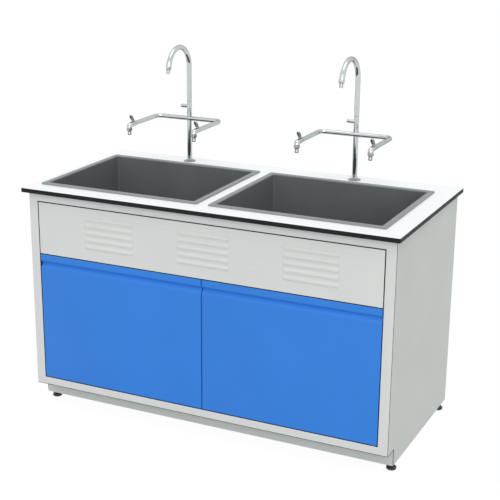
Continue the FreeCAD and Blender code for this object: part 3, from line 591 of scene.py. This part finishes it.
def frontFrame():
    # welded tube frame: rectangles that run round the outer edge, over the front and into the opening;
    # the outer walls, the opening's and the drip edge along the bottom take a near-black finish as painted
    # shade for the gaps and the line under the frame
    look = dict(edge=0.9 * mm, corner=0.5 * mm, drip=1.6 * mm, steps=5, cornerSteps=2)
    low, high = span("front_stile_left")
    depth = high[1] - low[1]
    sill, lintel = span("front_bottom_rail")[1][2], span("front_top_rail")[0][2]
    turn = quarter(look["steps"])
    rim = look["edge"] * (1 - np.cos(turn))
    back = look["edge"] * (1 - np.sin(turn))
    shrink = join([[0], rim, [look["edge"]], rim[::-1], [0]])
    y = frontY + join([[depth], back, [0], back[::-1], [depth]])
    drip = np.zeros(len(y))
    drip[len(rim) + 1] = look["drip"]
    outer = np.arange(len(y)) < len(rim) + 2
    halfX = np.where(outer, -low[0] - shrink, span("front_top_rail")[1][0] + shrink)
    lowZ = np.where(outer, low[2] + shrink + drip, sill - shrink)
    highZ = np.where(outer, high[2] - shrink, lintel + shrink)
    flat = rectangleRings(halfX, (highZ - lowZ) / 2, look["corner"], look["cornerSteps"])
    middle = ((lowZ + highZ) / 2)[:, None]
    rings = np.stack([flat[..., 0], y[:, None] + 0 * flat[..., 0], flat[..., 1] + middle], 2)
    # painted shade: these faces take the near-black finish in place of the shade in the gaps and under the
    # drip edge
    shadeTone = np.zeros(flat.shape[:2], int)
    shadeTone[[0, -2]] = 1
    bottomSide = 3 * (look["cornerSteps"] + 1) - 1  # it starts at the third corner's last point
    shadeTone[:len(rim) + 1, bottomSide] = 1
    Shape().add(rings, wrapRows=True, tone=shadeTone.ravel()).make(
        "frontFrame", "cabinet", [framePaint, paintedShadeDark], "frame_paint",
        ("front_stile_left", "front_stile_right", "front_top_rail", "front_bottom_rail"))


def toePaintedShade(side, sign):
    # painted shade: a near-black round cord along the side panel's toe notch, over its top edge and down the
    # plinth's end, where there is only the notch's shade
    look = dict(radius=1.2 * mm, bend=3 * mm, sunk=0.7 * mm, foot=9 * mm)
    low, high = span("side_panel_" + side)
    plinthY = span("plinth_panel")[0][1] + look["sunk"]
    top = span("front_bottom_rail")[0][2] + look["radius"]
    across = sign * (max(abs(low[0]), abs(high[0])) - look["sunk"])
    flat = rounded([(low[1] + look["radius"], top), (plinthY, top), (plinthY, low[2] + look["foot"])],
                   [0, look["bend"], 0], closed=False)
    path = np.insert(flat, 0, across, 1)
    Shape().add(tubeRings(path, look["radius"], (1, 0, 0), 12), caps=(0, -1)).make(
        side + "ToePaintedShade", "cabinet", paintedShadeDark, "cabinet_paint", ("side_panel_" + side,))


def gapPaintedShades():
    # painted shade: near-black strips on the middle rail's front where it shows at both ends of the panel,
    # standing in for the shade in those gaps; a rounded rectangle carried up the rail
    look = dict(thick=0.6 * mm, clear=0.1 * mm, round=0.15 * mm)
    low, high = span("mid_rail")
    panelEnd = span("louvre_panel")[1][0]
    back, front = low[1], low[1] - look["thick"]
    shape = Shape()
    for sign in (-1, 1):
        near, far = sign * (panelEnd + look["clear"]), sign * (high[0] - look["clear"])
        section = rounded([(near, front), (far, front), (far, back), (near, back)], look["round"], 3)
        shape.add(np.stack([np.insert(section, 2, z, 1)
                            for z in (low[2] + look["clear"], high[2] - look["clear"])]), caps=(0, -1))
    shape.make("gapPaintedShades", "cabinet", paintedShadeDark, "frame_paint", ("mid_rail",))


frontFrame()
toePaintedShade("left", -1)
toePaintedShade("right", 1)
gapPaintedShades()


def louvrePanel():
    # one pressed sheet: height over the panel = the hood's section along Z times a window along X;
    # it is cut along each hood's lower edge, and turned back along its top and ends, which take a near-black
    # finish as painted shade for the gaps round the panel
    look = dict(
        centres=(-383 * mm, 10 * mm, 427 * mm), length=208 * mm, rows=5, pitch=27.3 * mm,
        drop=31.5 * mm, height=15.5 * mm, crease=0.5 * mm, proud=4.4 * mm, leftRun=5 * mm,
        rightRun=1.6 * mm, bend=0.8 * mm, hem=12 * mm, sheet=1.2 * mm, above=4.5 * mm,
        creaseTop=1.6 * mm, creaseLow=0.4 * mm, shoulder=3 * mm, crest=8 * mm, lip=3 * mm, below=1 * mm,
        shares=(0.7, 1, 0.9, 0.6), bends=(0, 0.8 * mm, 0.4 * mm, 3 * mm, 5 * mm, 2.5 * mm, 0))
    low, high = span("louvre_panel")
    turn = quarter(4)
    turned = join([[look["hem"]], look["bend"] * (1 - np.sin(turn))])  # depths over a turned edge

    def folded(edge, sign):
        # places over a turned edge, from the free end of its hem to the face
        return join([[edge], edge - sign * look["bend"] * (1 - np.cos(turn))])

    hoodEnd = np.linspace(0, 1, 9)
    hoodRise = np.sin(hoodEnd * np.pi / 2)
    x, window = [folded(low[0], -1)], [0 * turned]
    for centre in look["centres"]:
        start, end = centre - look["length"] / 2, centre + look["length"] / 2
        inner = np.linspace(start + look["leftRun"], end - look["rightRun"], 5)[1:-1]
        x += [start + hoodEnd * look["leftRun"], inner, end - hoodEnd[::-1] * look["rightRun"]]
        window += [hoodRise, np.ones(len(inner)), hoodRise[::-1]]
    x = join(x + [folded(high[0], 1)[::-1]])
    window = join(window + [0 * turned])
    depthX = join([turned, np.zeros(len(x) - 2 * len(turned)), turned[::-1]])

    # how far the hood stands out, and the height from its top line
    edge = -look["height"]
    heights = (-look["shoulder"], -look["crest"], edge + look["lip"], edge)
    hood = [(0, look["above"]), (0, look["creaseTop"]), (-look["crease"], look["creaseLow"])]
    hood += [(share * look["proud"], height) for share, height in zip(look["shares"], heights)]
    hood = rounded(hood, look["bends"], 5, closed=False)
    z, rise, gaps = [folded(high[2], 1)], [0 * turned], []
    for row in range(look["rows"]):
        top = high[2] - look["drop"] - row * look["pitch"]
        z += [top + hood[:, 1], [top + edge, top + edge - look["below"]]]
        rise += [hood[:, 0], [0, 0]]
        gaps.append(sum(len(part) for part in z) - 3)  # from the hood's last point to the flat below it
    z = join(z + [[low[2]]])
    rise = join(rise + [[0]])
    depthZ = join([turned, np.zeros(len(z) - len(turned))])
    y = frontY - rise[:, None] * window[None] + np.maximum(depthZ[:, None], depthX[None])
    grid = np.stack([x[None] + 0 * y, y, z[:, None] + 0 * y], 2)
    keep = np.ones((len(z) - 1, len(x) - 1), bool)
    keep[gaps] = False
    # painted shade: the turned top edge and both turned ends take the near-black finish
    shadeTone = np.zeros(keep.shape, int)
    shadeTone[0] = shadeTone[:, 0] = shadeTone[:, -1] = 1
    Shape().add(grid, wrapColumns=False, keep=keep, tone=shadeTone[keep]).make(
        "louvrePanel", "cabinet", [framePaint, paintedShadeDark], "frame_paint", ("louvre_panel",),
        facing=(0, -1, 0), sheet=look["sheet"])


louvrePanel()
print("front frame and louvred panel made")


def door(side):
    # folded pan: one closed section in YZ carried along X, drawn in a little at both ends, with painted
    # shade on its top edge, a near-black finish for the shade in the gap above; the strip's underside slopes
    # back to the finger pull's deepest line
    look = dict(
        strip=25 * mm, pull=24 * mm, pullDepth=11 * mm, footDrop=2 * mm, slope=12 * mm, ledge=2 * mm,
        ledgeOut=0.5 * mm, endBend=0.8 * mm, linerProud=0.25 * mm, linerEdge=0.4 * mm,
        bends=(12 * mm, 0.9 * mm, 0.8 * mm, 0.8 * mm, 0.9 * mm, 4 * mm, 0.7 * mm, 1 * mm))
    low, high = span("door_skin_" + side)
    front, back = low[1], high[1] - look["linerProud"]
    strip = high[2] - look["strip"]
    foot = strip - look["pull"]
    deep, under = front + look["pullDepth"], strip - look["slope"]
    section = rounded([(front, foot - look["footDrop"]), (front, low[2]), (back, low[2]), (back, high[2]),
                       (front, high[2]), (front, strip), (deep, under),
                       (deep - look["ledgeOut"], under - look["ledge"])], look["bends"], 7)
    turn = quarter(4)
    drawn = look["endBend"] * (1 - np.sin(turn))
    along = look["endBend"] * (1 - np.cos(turn))
    x = join([low[0] + along, high[0] - along[::-1]])
    amounts = join([drawn, drawn[::-1]])
    rings = np.stack([np.insert(inset(section, amount), 0, place, 1) for place, amount in zip(x, amounts)])
    # painted shade: the door's top face takes the near-black finish
    onTop = section[:, 1] > high[2] - flush
    shadeTone = np.broadcast_to(onTop & np.roll(onTop, -1), (len(rings) - 1, len(section))).astype(int)
    Shape().add(rings, caps=(0, -1), tone=shadeTone.ravel()).make(
        side + "DoorSkin", side + "_door", [doorPaint, paintedShadeDark], "door_paint", ("door_skin_" + side,),
        sharp=30)
    softened("door_liner_" + side, side + "DoorLiner", side + "_door", "door_paint", look["linerEdge"])


for side in sides:
    door(side)
print("doors made")


def bowl(side):
    # rim: rounded rectangles from the outer edge over the top and into the mouth, closed underneath;
    # tub: the same outline carried down the walls, round the floor's edge and in to the drain's circle
    look = dict(
        rimWidth=21 * mm, rimEdge=1.6 * mm, lipEdge=2.2 * mm, lipDrop=5 * mm, hem=1.5 * mm,
        rimCorner=4 * mm, mouthCorner=7 * mm, footRadius=7 * mm, draft=1.0 * mm, floor=5 * mm,
        fall=1.6 * mm, fallPower=0.8, drain=34 * mm, inner=0.3 * mm, outer=4.8 * mm, overlap=0.5 * mm,
        step=1 * mm, leastCorner=0.5 * mm)
    low, high = span("sink_" + side)
    rimBottom = span("worktop_laminate")[1][2]
    centre = (low + high) / 2
    drain = span("waste_nuts")
    drainY = (drain[0][1] + drain[1][1]) / 2
    half = (high - low)[:2] / 2
    turn = quarter(5)
    edge, lip, width = look["rimEdge"], look["lipEdge"], look["rimWidth"]
    hem, lipLow = width - look["hem"], high[2] - look["lipDrop"]
    inwards = join([[0], edge * (1 - np.cos(turn)), width - lip * (1 - np.sin(turn)), [width, hem, hem]])
    height = join([[rimBottom], high[2] - edge * (1 - np.sin(turn)), high[2] - lip * (1 - np.cos(turn)),
                   [lipLow, lipLow, rimBottom]])
    corner = np.interp(inwards, [0, width], [look["rimCorner"], look["mouthCorner"]])
    rings = ringsAt(rectangleRings(half[0] - inwards, half[1] - inwards, corner), centre, height)
    Shape().add(rings, wrapRows=True).make(
        side + "BowlRim", "cabinet", rimPlastic, "sink_plastic", ("sink_" + side,))
    mouthX, mouthY = half - width
    floor = low[2] + look["floor"]
    wallTop = lipLow + look["overlap"]

    def walls(offset, top, bottom, radius):
        # rings down a wall and round its foot, offset outwards from the mouth's outline
        drop = join([[top], bottom + radius - radius * np.sin(turn)])
        move = join([[0], -look["draft"] - radius * (1 - np.cos(turn))]) + offset
        corner = max(look["mouthCorner"] + offset - look["draft"], radius + look["leastCorner"])
        return ringsAt(rectangleRings(mouthX + move, mouthY + move, corner), centre, drop)

    inside = walls(look["inner"], wallTop, floor + look["fall"], look["footRadius"])
    outside = walls(look["outer"], wallTop - look["step"], low[2], look["footRadius"] + look["step"])[::-1]
    circle = rectangleRings(look["drain"], look["drain"], look["drain"])[0] + (0, drainY - centre[1])
    share = np.linspace(0, 1, 6)[1:, None, None]
    floorRings = inside[-1][None] * (1 - share)
    floorRings[..., :2] += share * (circle + centre[:2])[None]
    floorRings[..., 2] = floor + look["fall"] * (1 - share[..., 0]) ** look["fallPower"]
    under = ringsAt(circle[None], centre, [low[2]])
    tub = join([inside, floorRings, under, outside])
    Shape().add(tub, wrapRows=True).make(
        side + "BowlTub", "cabinet", tubPlastic, "sink_plastic", ("sink_" + side,))


for side in sides:
    bowl(side)
print("bowls made")


def tapSpot(side):
    # where a tap's axis meets the worktop
    low, high = span("tap_column_" + side)
    centre = (low + high) / 2
    return np.array([centre[0], centre[1], span("worktop_laminate")[1][2]])


def hexagonLimit(flats):
    # radius of a hexagon at an angle: half the flats over the cosine of the angle from the nearest flat
    def spread(radius, angle, height):
        return np.minimum(radius, flats / 2 / np.cos(np.mod(angle, np.pi / 3) - np.pi / 6))
    return spread


def hoseNozzle():
    # hexagon with turned-down corners, cone, ribbed hose end, and the bore seen from its mouth;
    # radius and distance from the hexagon's inner end
    look = dict(
        flats=22 * mm, hexLong=10.4 * mm, cut=0.9 * mm, cutIn=0.4 * mm, cone=2 * mm, coneFoot=0.7 * mm,
        flare=1 * mm, tip=8 * mm, tipLong=15.7 * mm, collar=1.4 * mm, root=0.6 * mm, endCut=0.5 * mm,
        bore=5 * mm, boreEdge=0.4 * mm, boreDeep=4 * mm, ribs=3, ribPitch=3.6 * mm, ribStart=2.2 * mm,
        ribRise=2.5 * mm, ribTop=3 * mm, ribEnd=3.4 * mm,
        ribCrown=(0.1 * mm, 0.2 * mm), tail=2 * mm)
    hexLong, tip, bore, root = look["hexLong"], look["tip"], look["bore"], look["tip"] - look["root"]
    corner, face = look["flats"] / math.sqrt(3), look["flats"] / 2 - look["cutIn"]
    start = hexLong + look["cone"]
    end = start + look["tipLong"]
    ribs = np.arange(look["ribs"])[:, None] * look["ribPitch"] + start + look["ribStart"]
    rib = np.array([[root, 0], [tip - look["ribCrown"][0], look["ribRise"]], [tip, look["ribTop"]],
                    [tip - look["ribCrown"][1], look["ribEnd"]]])
    ribbed = np.stack([rib[None, :, 0] + 0 * ribs, rib[None, :, 1] + ribs], 2).reshape(-1, 2)
    profile = [(bore, 0), (face, 0), (corner, look["cut"]), (corner, hexLong - look["cut"]), (face, hexLong),
               (tip + look["flare"], start - look["coneFoot"]), (tip, start), (tip, start + look["collar"]),
               *ribbed, (root, end - look["tail"]), (root, end - look["endCut"]),
               (root - look["endCut"], end), (bore + look["boreEdge"], end), (bore, end - look["boreEdge"]),
               (bore, start - look["boreDeep"]), (0, start - look["boreDeep"])]
    return turnedRings(profile, (0, 0, 0), 48, hexagonLimit(look["flats"]))


def tapBase(side):
    # cover plate: a shallow dome from a rounded rim up to the column
    look = dict(
        radius=25 * mm, edge=2 * mm, height=7 * mm, hug=10.1 * mm, lift=0.05 * mm,
        shoulder=(13.5 * mm, 6.2 * mm), crown=11.2 * mm,
        bends=(0.2 * mm, 0.3 * mm, 1.1 * mm, 9 * mm, 0.5 * mm, 0.2 * mm))
    hug, radius, height = look["hug"], look["radius"], look["height"]
    profile = rounded([(hug, look["lift"]), (radius, look["lift"]), (radius, look["edge"]), look["shoulder"],
                       (look["crown"], height), (hug, height)], look["bends"], 5)
    Shape().add(turnedRings(profile, tapSpot(side), 64), wrapRows=True).make(
        side + "TapBase", "cabinet", coverMetal, "chrome", ("tap_flanges",))


def outletTube(side):
    # crossbar and two arms: a round tube along a U with filleted corners
    look = dict(bend=25 * mm)
    low, high = span("tap_arms_" + side)
    radius = (high[2] - low[2]) / 2
    left, right, back = low[0] + radius, high[0] - radius, high[1] - radius
    flat = rounded([(left, low[1]), (left, back), (right, back), (right, low[1])],
                   [0, look["bend"], look["bend"], 0], 14, closed=False)
    path = np.insert(flat, 2, low[2] + radius, 1)
    Shape().add(tubeRings(path, radius, (0, 0, 1)), caps=(0, -1)).make(
        side + "OutletTube", "cabinet", chrome, "chrome", ("tap_arms_" + side,))


def bibValves(side):
    # on each arm's end: a barrel that turns down through an elbow, a hexagonal hose nozzle under it
    # and a paddle on top; near its end the barrel is thinner by easeBy at easeAt
    look = dict(
        start=197 * mm, reach=238 * mm, drop=11 * mm, bend=10.6 * mm, radius=10.25 * mm,
        swell=0.75 * mm, height=180 * mm, spindle=208 * mm, gap=0.3 * mm,
        easeAt=np.array([0, 0.5, 1.3, 13, 24]) * mm, easeBy=np.array([1, 0.4, 0, 0, 0]) * mm)
    spot = tapSpot(side)
    low, high = span("tap_arms_" + side)
    halfSpan = (high[0] - low[0]) / 2 - (high[2] - low[2]) / 2
    body, nozzle = Shape(), Shape()
    start, reach, drop, radius = look["start"], look["reach"], look["drop"], look["radius"]
    run = np.column_stack([-start - look["easeAt"], 0 * look["easeAt"]])
    bend = rounded([(-start, 0), (-reach, 0), (-reach, -drop)], [0, look["bend"], 0], 12, closed=False)[1:]
    line = join([run, bend])
    swell = look["swell"] * np.sin(np.pi * np.linspace(0, 1, len(bend)))
    radii = radius + join([-look["easeBy"], swell])
    for sign, arm in ((-1, "left"), (1, "right")):
        centre = spot + (sign * halfSpan, 0, look["height"])
        path = np.insert(line, 0, 0, 1) + centre
        body.add(tubeRings(path, radii, (1, 0, 0), 32), caps=(0, -1))
        nozzle.add(tilted(hoseNozzle(), centre + (0, -reach, -drop), (0, 0, -1)))
        paddle(side, arm, centre + (0, -look["spindle"], radius + look["gap"]))
    body.make(side + "BibElbows", "cabinet", chrome, "chrome", ("bib_bodies",), sharp=60)
    nozzle.make(side + "BibNozzles", "cabinet", satinMetal, "chrome", ("bib_nozzles",), sharp=25)


def paddle(side, arm, seat):
    # hub and spindle turned on one profile; the blade is a line of superellipses that leans forward
    # and closes over a round tip
    look = dict(
        hub=7.5 * mm, hubHigh=4 * mm, crown=0.6 * mm, spindle=3 * mm, spindleLong=7 * mm,
        hubBends=(0, 0.4 * mm, 0.2 * mm, 0.5 * mm, 1.1 * mm, 0), rise=26 * mm, lean=21 * mm,
        neck=7.2 * mm, half=8 * mm, widestAt=0.6, thick=3.5 * mm, thin=3.3 * mm, power=3.4,
        tipPower=0.25)
    hub, spindle, hubHigh, spindleEnd = look["hub"], look["spindle"], look["hubHigh"], -look["spindleLong"]
    turned = rounded([(0, spindleEnd), (spindle, spindleEnd), (spindle, 0), (hub, 0), (hub, hubHigh),
                      (0, hubHigh + look["crown"])], look["hubBends"], 4, closed=False)
    shape = Shape().add(turnedRings(turned, seat, 40))
    length = math.hypot(look["rise"], look["lean"])
    ahead = np.array([0, -look["lean"], look["rise"]]) / length
    over = np.array([0, look["rise"], look["lean"]]) / length
    tipStart = 1 - look["half"] / length
    tipTurn = quarter(9)
    along = join([np.linspace(0, tipStart, 12)[:-1], tipStart + (1 - tipStart) * np.sin(tipTurn)])
    tip = join([np.ones(11), np.cos(tipTurn)])
    widen = np.clip(along / look["widestAt"], 0, 1)
    widen = widen * widen * (3 - 2 * widen)
    half = (look["neck"] + (look["half"] - look["neck"]) * widen) * tip
    thick = (look["thick"] + (look["thin"] - look["thick"]) * along) * tip ** look["tipPower"]
    angle = np.linspace(0, 2 * np.pi, 32, endpoint=False)
    spokeX, spokeY = (np.sign(wave) * np.abs(wave) ** (2 / look["power"])
                      for wave in (np.cos(angle), np.sin(angle)))
    base = seat + (0, 0, hubHigh / 2)
    blade = (base + (along * length)[:, None, None] * ahead
             + (half[:, None] * spokeX[None])[..., None] * np.array([1.0, 0, 0])
             + (thick[:, None] * spokeY[None])[..., None] * over)
    shape.add(blade, caps=(0,)).make(
        side + "Tap" + arm.capitalize() + "Paddle", side + "_tap_" + arm + "_paddle", satinMetal, "chrome",
        ("bib_lever_" + side + "_" + arm,), sharp=50)


def swanNeck(side):
    # tube from the swivel straight up and round an arc; the sleeve over its mouth ends in the nozzle
    look = dict(
        radius=10 * mm, foot=250.3 * mm, centre=391.5 * mm, bow=87 * mm, sweep=166, sleeve=18,
        wall=0.6 * mm, edge=0.5 * mm, rings=(0, 0.5 * mm, 4 * mm), stepAngle=3.5, sleeveEdge=0.06)
    spot = tapSpot(side)
    foot, centre, sweep = look["foot"], look["centre"], look["sweep"]
    step = look["bow"] * math.radians(look["stepAngle"])
    straight = join([foot + np.array(look["rings"]), [centre - 2 * step, centre - step]])

    def bow(start, end, count):
        # points of the arc, sweep measured from the top of the straight part
        turn = np.radians(np.linspace(start, end, count))
        return np.stack([0 * turn, look["bow"] * (np.cos(turn) - 1), centre + look["bow"] * np.sin(turn)], 1)

    path = join([np.stack([0 * straight, 0 * straight, straight], 1), bow(0, sweep - 1, 48)])
    radii = np.full(len(path), look["radius"])
    radii[0] -= look["edge"]
    Shape().add(tubeRings(path + spot, radii, (1, 0, 0), 36), caps=(0, -1)).make(
        side + "SwanNeck", side + "_swan_neck", chrome, "chrome", ("gooseneck_" + side,))
    line = bow(sweep - look["sleeve"], sweep, 14)
    line = join([line[:1], line[:1] + (line[1] - line[0]) * look["sleeveEdge"], line[1:]])
    radii = np.full(len(line), look["radius"] + look["wall"])
    radii[0] -= look["edge"]
    end = math.radians(sweep)
    nozzle = tilted(hoseNozzle(), line[-1] + spot, (0, -math.sin(end), math.cos(end)))
    Shape().add(tubeRings(line + spot, radii, (1, 0, 0), 36), caps=(0, -1)).add(nozzle).make(
        side + "SwanNozzle", side + "_swan_neck", chrome, "chrome", ("gooseneck_nozzle_" + side,), sharp=25)


def sideLever(side):
    # round bar with a ball at its pivot and a softly rounded free end
    look = dict(endRound=3.5 * mm, crown=0.4 * mm)
    low, high = span("tap_lever_" + side)
    radius = (high[2] - low[2]) / 2
    length = high[0] - low[0] - radius
    ball = arc((0, 0), radius, -90, 0, 8)
    end = rounded([(radius, 0), (radius, length), (0, length + look["crown"])], [0, look["endRound"], 0],
                  closed=False)
    bar = turnedRings(join([ball, end[1:]]), (0, 0, 0), 36)
    pivot = (high[0] - radius, (low[1] + high[1]) / 2, (low[2] + high[2]) / 2)
    Shape().add(tilted(bar, pivot, (-1, 0, 0))).make(
        side + "SideLever", side + "_tap_side_lever", chrome, "chrome", ("tap_lever_" + side,))


for side in sides:
    tapBase(side)
    outletTube(side)
    bibValves(side)
    swanNeck(side)
    sideLever(side)
print("taps made")


def levellingFoot(end, side):
    # pad with a fluted rim, cone and neck, and a stem whose thread runs as a helix:
    # radius = outer radius - depth / 2 * (1 - wave(height / pitch - angle / one turn))
    look = dict(
        pad=18.5 * mm, padHigh=9 * mm, chamfer=1.5 * mm, cone=6 * mm, neck=11 * mm, land=1 * mm,
        bends=(0, 0.6 * mm, 1 * mm, 1.5 * mm, 0.8 * mm, 0, 0), stem=5 * mm, stemEdge=0.8 * mm,
        rooted=1 * mm, pitch=1.75 * mm, depth=0.42 * mm, plainEnd=1.2 * mm, flutes=24,
        fluteDepth=0.5 * mm, fluteFrom=0.8, fluteRise=2 * mm)
    node = "levelling_foot_" + end + "_" + side
    low, high = span(node)
    centre = ((low[0] + high[0]) / 2, (low[1] + high[1]) / 2, 0)
    radius, top, stemTop = look["pad"], look["padHigh"] + look["cone"], high[2]
    chamfer, neck = look["chamfer"], look["neck"]
    pad = rounded([(0, 0), (radius - chamfer, 0), (radius, chamfer), (radius, look["padHigh"]), (neck, top),
                   (neck - look["land"], top), (0, top)], look["bends"], 5, closed=False)

    def flutes(radius, angle, height):
        rim = look["fluteFrom"] * look["pad"]
        share = np.clip((radius - rim) / (look["pad"] - rim), 0, 1)
        share = share * np.clip(height / look["fluteRise"], 0, 1)
        return radius - look["fluteDepth"] * share * (0.5 + 0.5 * np.cos(look["flutes"] * angle)) ** 3

    def thread(radius, angle, height):
        turns = np.mod(height / look["pitch"] - angle / (2 * np.pi), 1)
        wave = np.abs(2 * turns - 1) * 2 - 1
        ends = np.clip((stemTop - look["plainEnd"] - height) / mm, 0, 1)
        return np.where(radius > 0, radius - look["depth"] * (1 - wave * ends) / 2, 0)

    rows = np.arange(top - look["rooted"], stemTop, look["pitch"] / 6)
    stem = np.insert(rows[:, None], 0, look["stem"], 1)
    stem = join([[(0, rows[0])], stem, [(look["stem"] - look["stemEdge"], stemTop), (0, stemTop)]])
    foot = Shape().add(turnedRings(pad, centre, 96, flutes))
    foot.add(turnedRings(stem, centre, 24, thread), tone=1).make(
        end + side.capitalize() + "Foot", end + "_" + side + "_foot", [footNylon, zinc], "foot_rubber",
        (node,), sharp=60)
    return centre


def footNuts(centres):
    # lock nuts: hexagons whose corners are turned down at both faces
    look = dict(flats=17 * mm, hole=5.2 * mm, cut=0.9 * mm, cutIn=0.3 * mm)
    low, high = span("foot_nuts")
    corner, face = look["flats"] / math.sqrt(3), look["flats"] / 2 - look["cutIn"]
    profile = [(look["hole"], low[2]), (face, low[2]), (corner, low[2] + look["cut"]),
               (corner, high[2] - look["cut"]), (face, high[2]), (look["hole"], high[2])]
    nuts = Shape()
    for centre in centres:
        nuts.add(turnedRings(profile, centre, 48, hexagonLimit(look["flats"])), wrapRows=True)
    nuts.make("footNuts", "cabinet", zinc, "zinc_steel", ("foot_nuts",), sharp=25)


footNuts([levellingFoot(end, side) for end in ("front", "rear") for side in sides])
print("feet made")

drainPlaces = [sum(span("sink_" + side))[0] / 2 for side in sides]


def ribbedRing(name, node, look):
    # ring about each bowl's drain: a rounded profile whose outer wall swells into grip ribs,
    # radius - rib height * (1 - a squared wave of the angle)
    edge, ramp, skin = 1.5 * mm, 2 * mm, 0.4 * mm  # rounding, a rib's rise, tolerance of the outer wall
    low, high = span(node)
    drainY = (low[1] + high[1]) / 2
    shape = Shape()

    def grip(radius, angle, height):
        inner = np.clip((height - low[2] - look["plain"]) / ramp, 0, 1)
        inner = inner * np.clip((high[2] - look["plain"] - height) / ramp, 0, 1)
        outer = radius > look["radius"] - look["rib"] - skin
        wave = (0.5 + 0.5 * np.cos(look["ribs"] * angle)) ** 2
        return radius + np.where(outer, look["rib"] * inner * (wave - 1), 0)

    wall = np.linspace(low[2] + edge, high[2] - edge, 12)
    outside = np.insert(wall[:, None], 0, look["radius"], 1)
    lowTurn = arc((look["radius"] - edge, low[2] + edge), edge, -90, 0, 4)[:-1]
    topTurn = arc((look["radius"] - edge, high[2] - edge), edge, 0, 90, 4)[1:]
    profile = join([[(look["hole"], low[2])], lowTurn, outside, topTurn, [(look["hole"], high[2])]])
    for x in drainPlaces:
        shape.add(turnedRings(profile, (x, drainY, 0), look["ribs"] * 6, grip), wrapRows=look["hole"] > 0)
    shape.make(name, "cabinet", wastePlastic, "waste_plastic", (node,), sharp=50)


ribbedRing("trapCups", "trap_cups", dict(radius=39 * mm, hole=0, rib=1.8 * mm, ribs=20, plain=3 * mm))
ribbedRing("couplingNuts", "coupling_nuts", dict(
    radius=31 * mm, hole=25 * mm, rib=1.5 * mm, ribs=16, plain=2 * mm))
ribbedRing("wasteNuts", "waste_nuts", dict(
    radius=34 * mm, hole=25 * mm, rib=1.5 * mm, ribs=12, plain=1 * mm))
print("wastes and traps made")
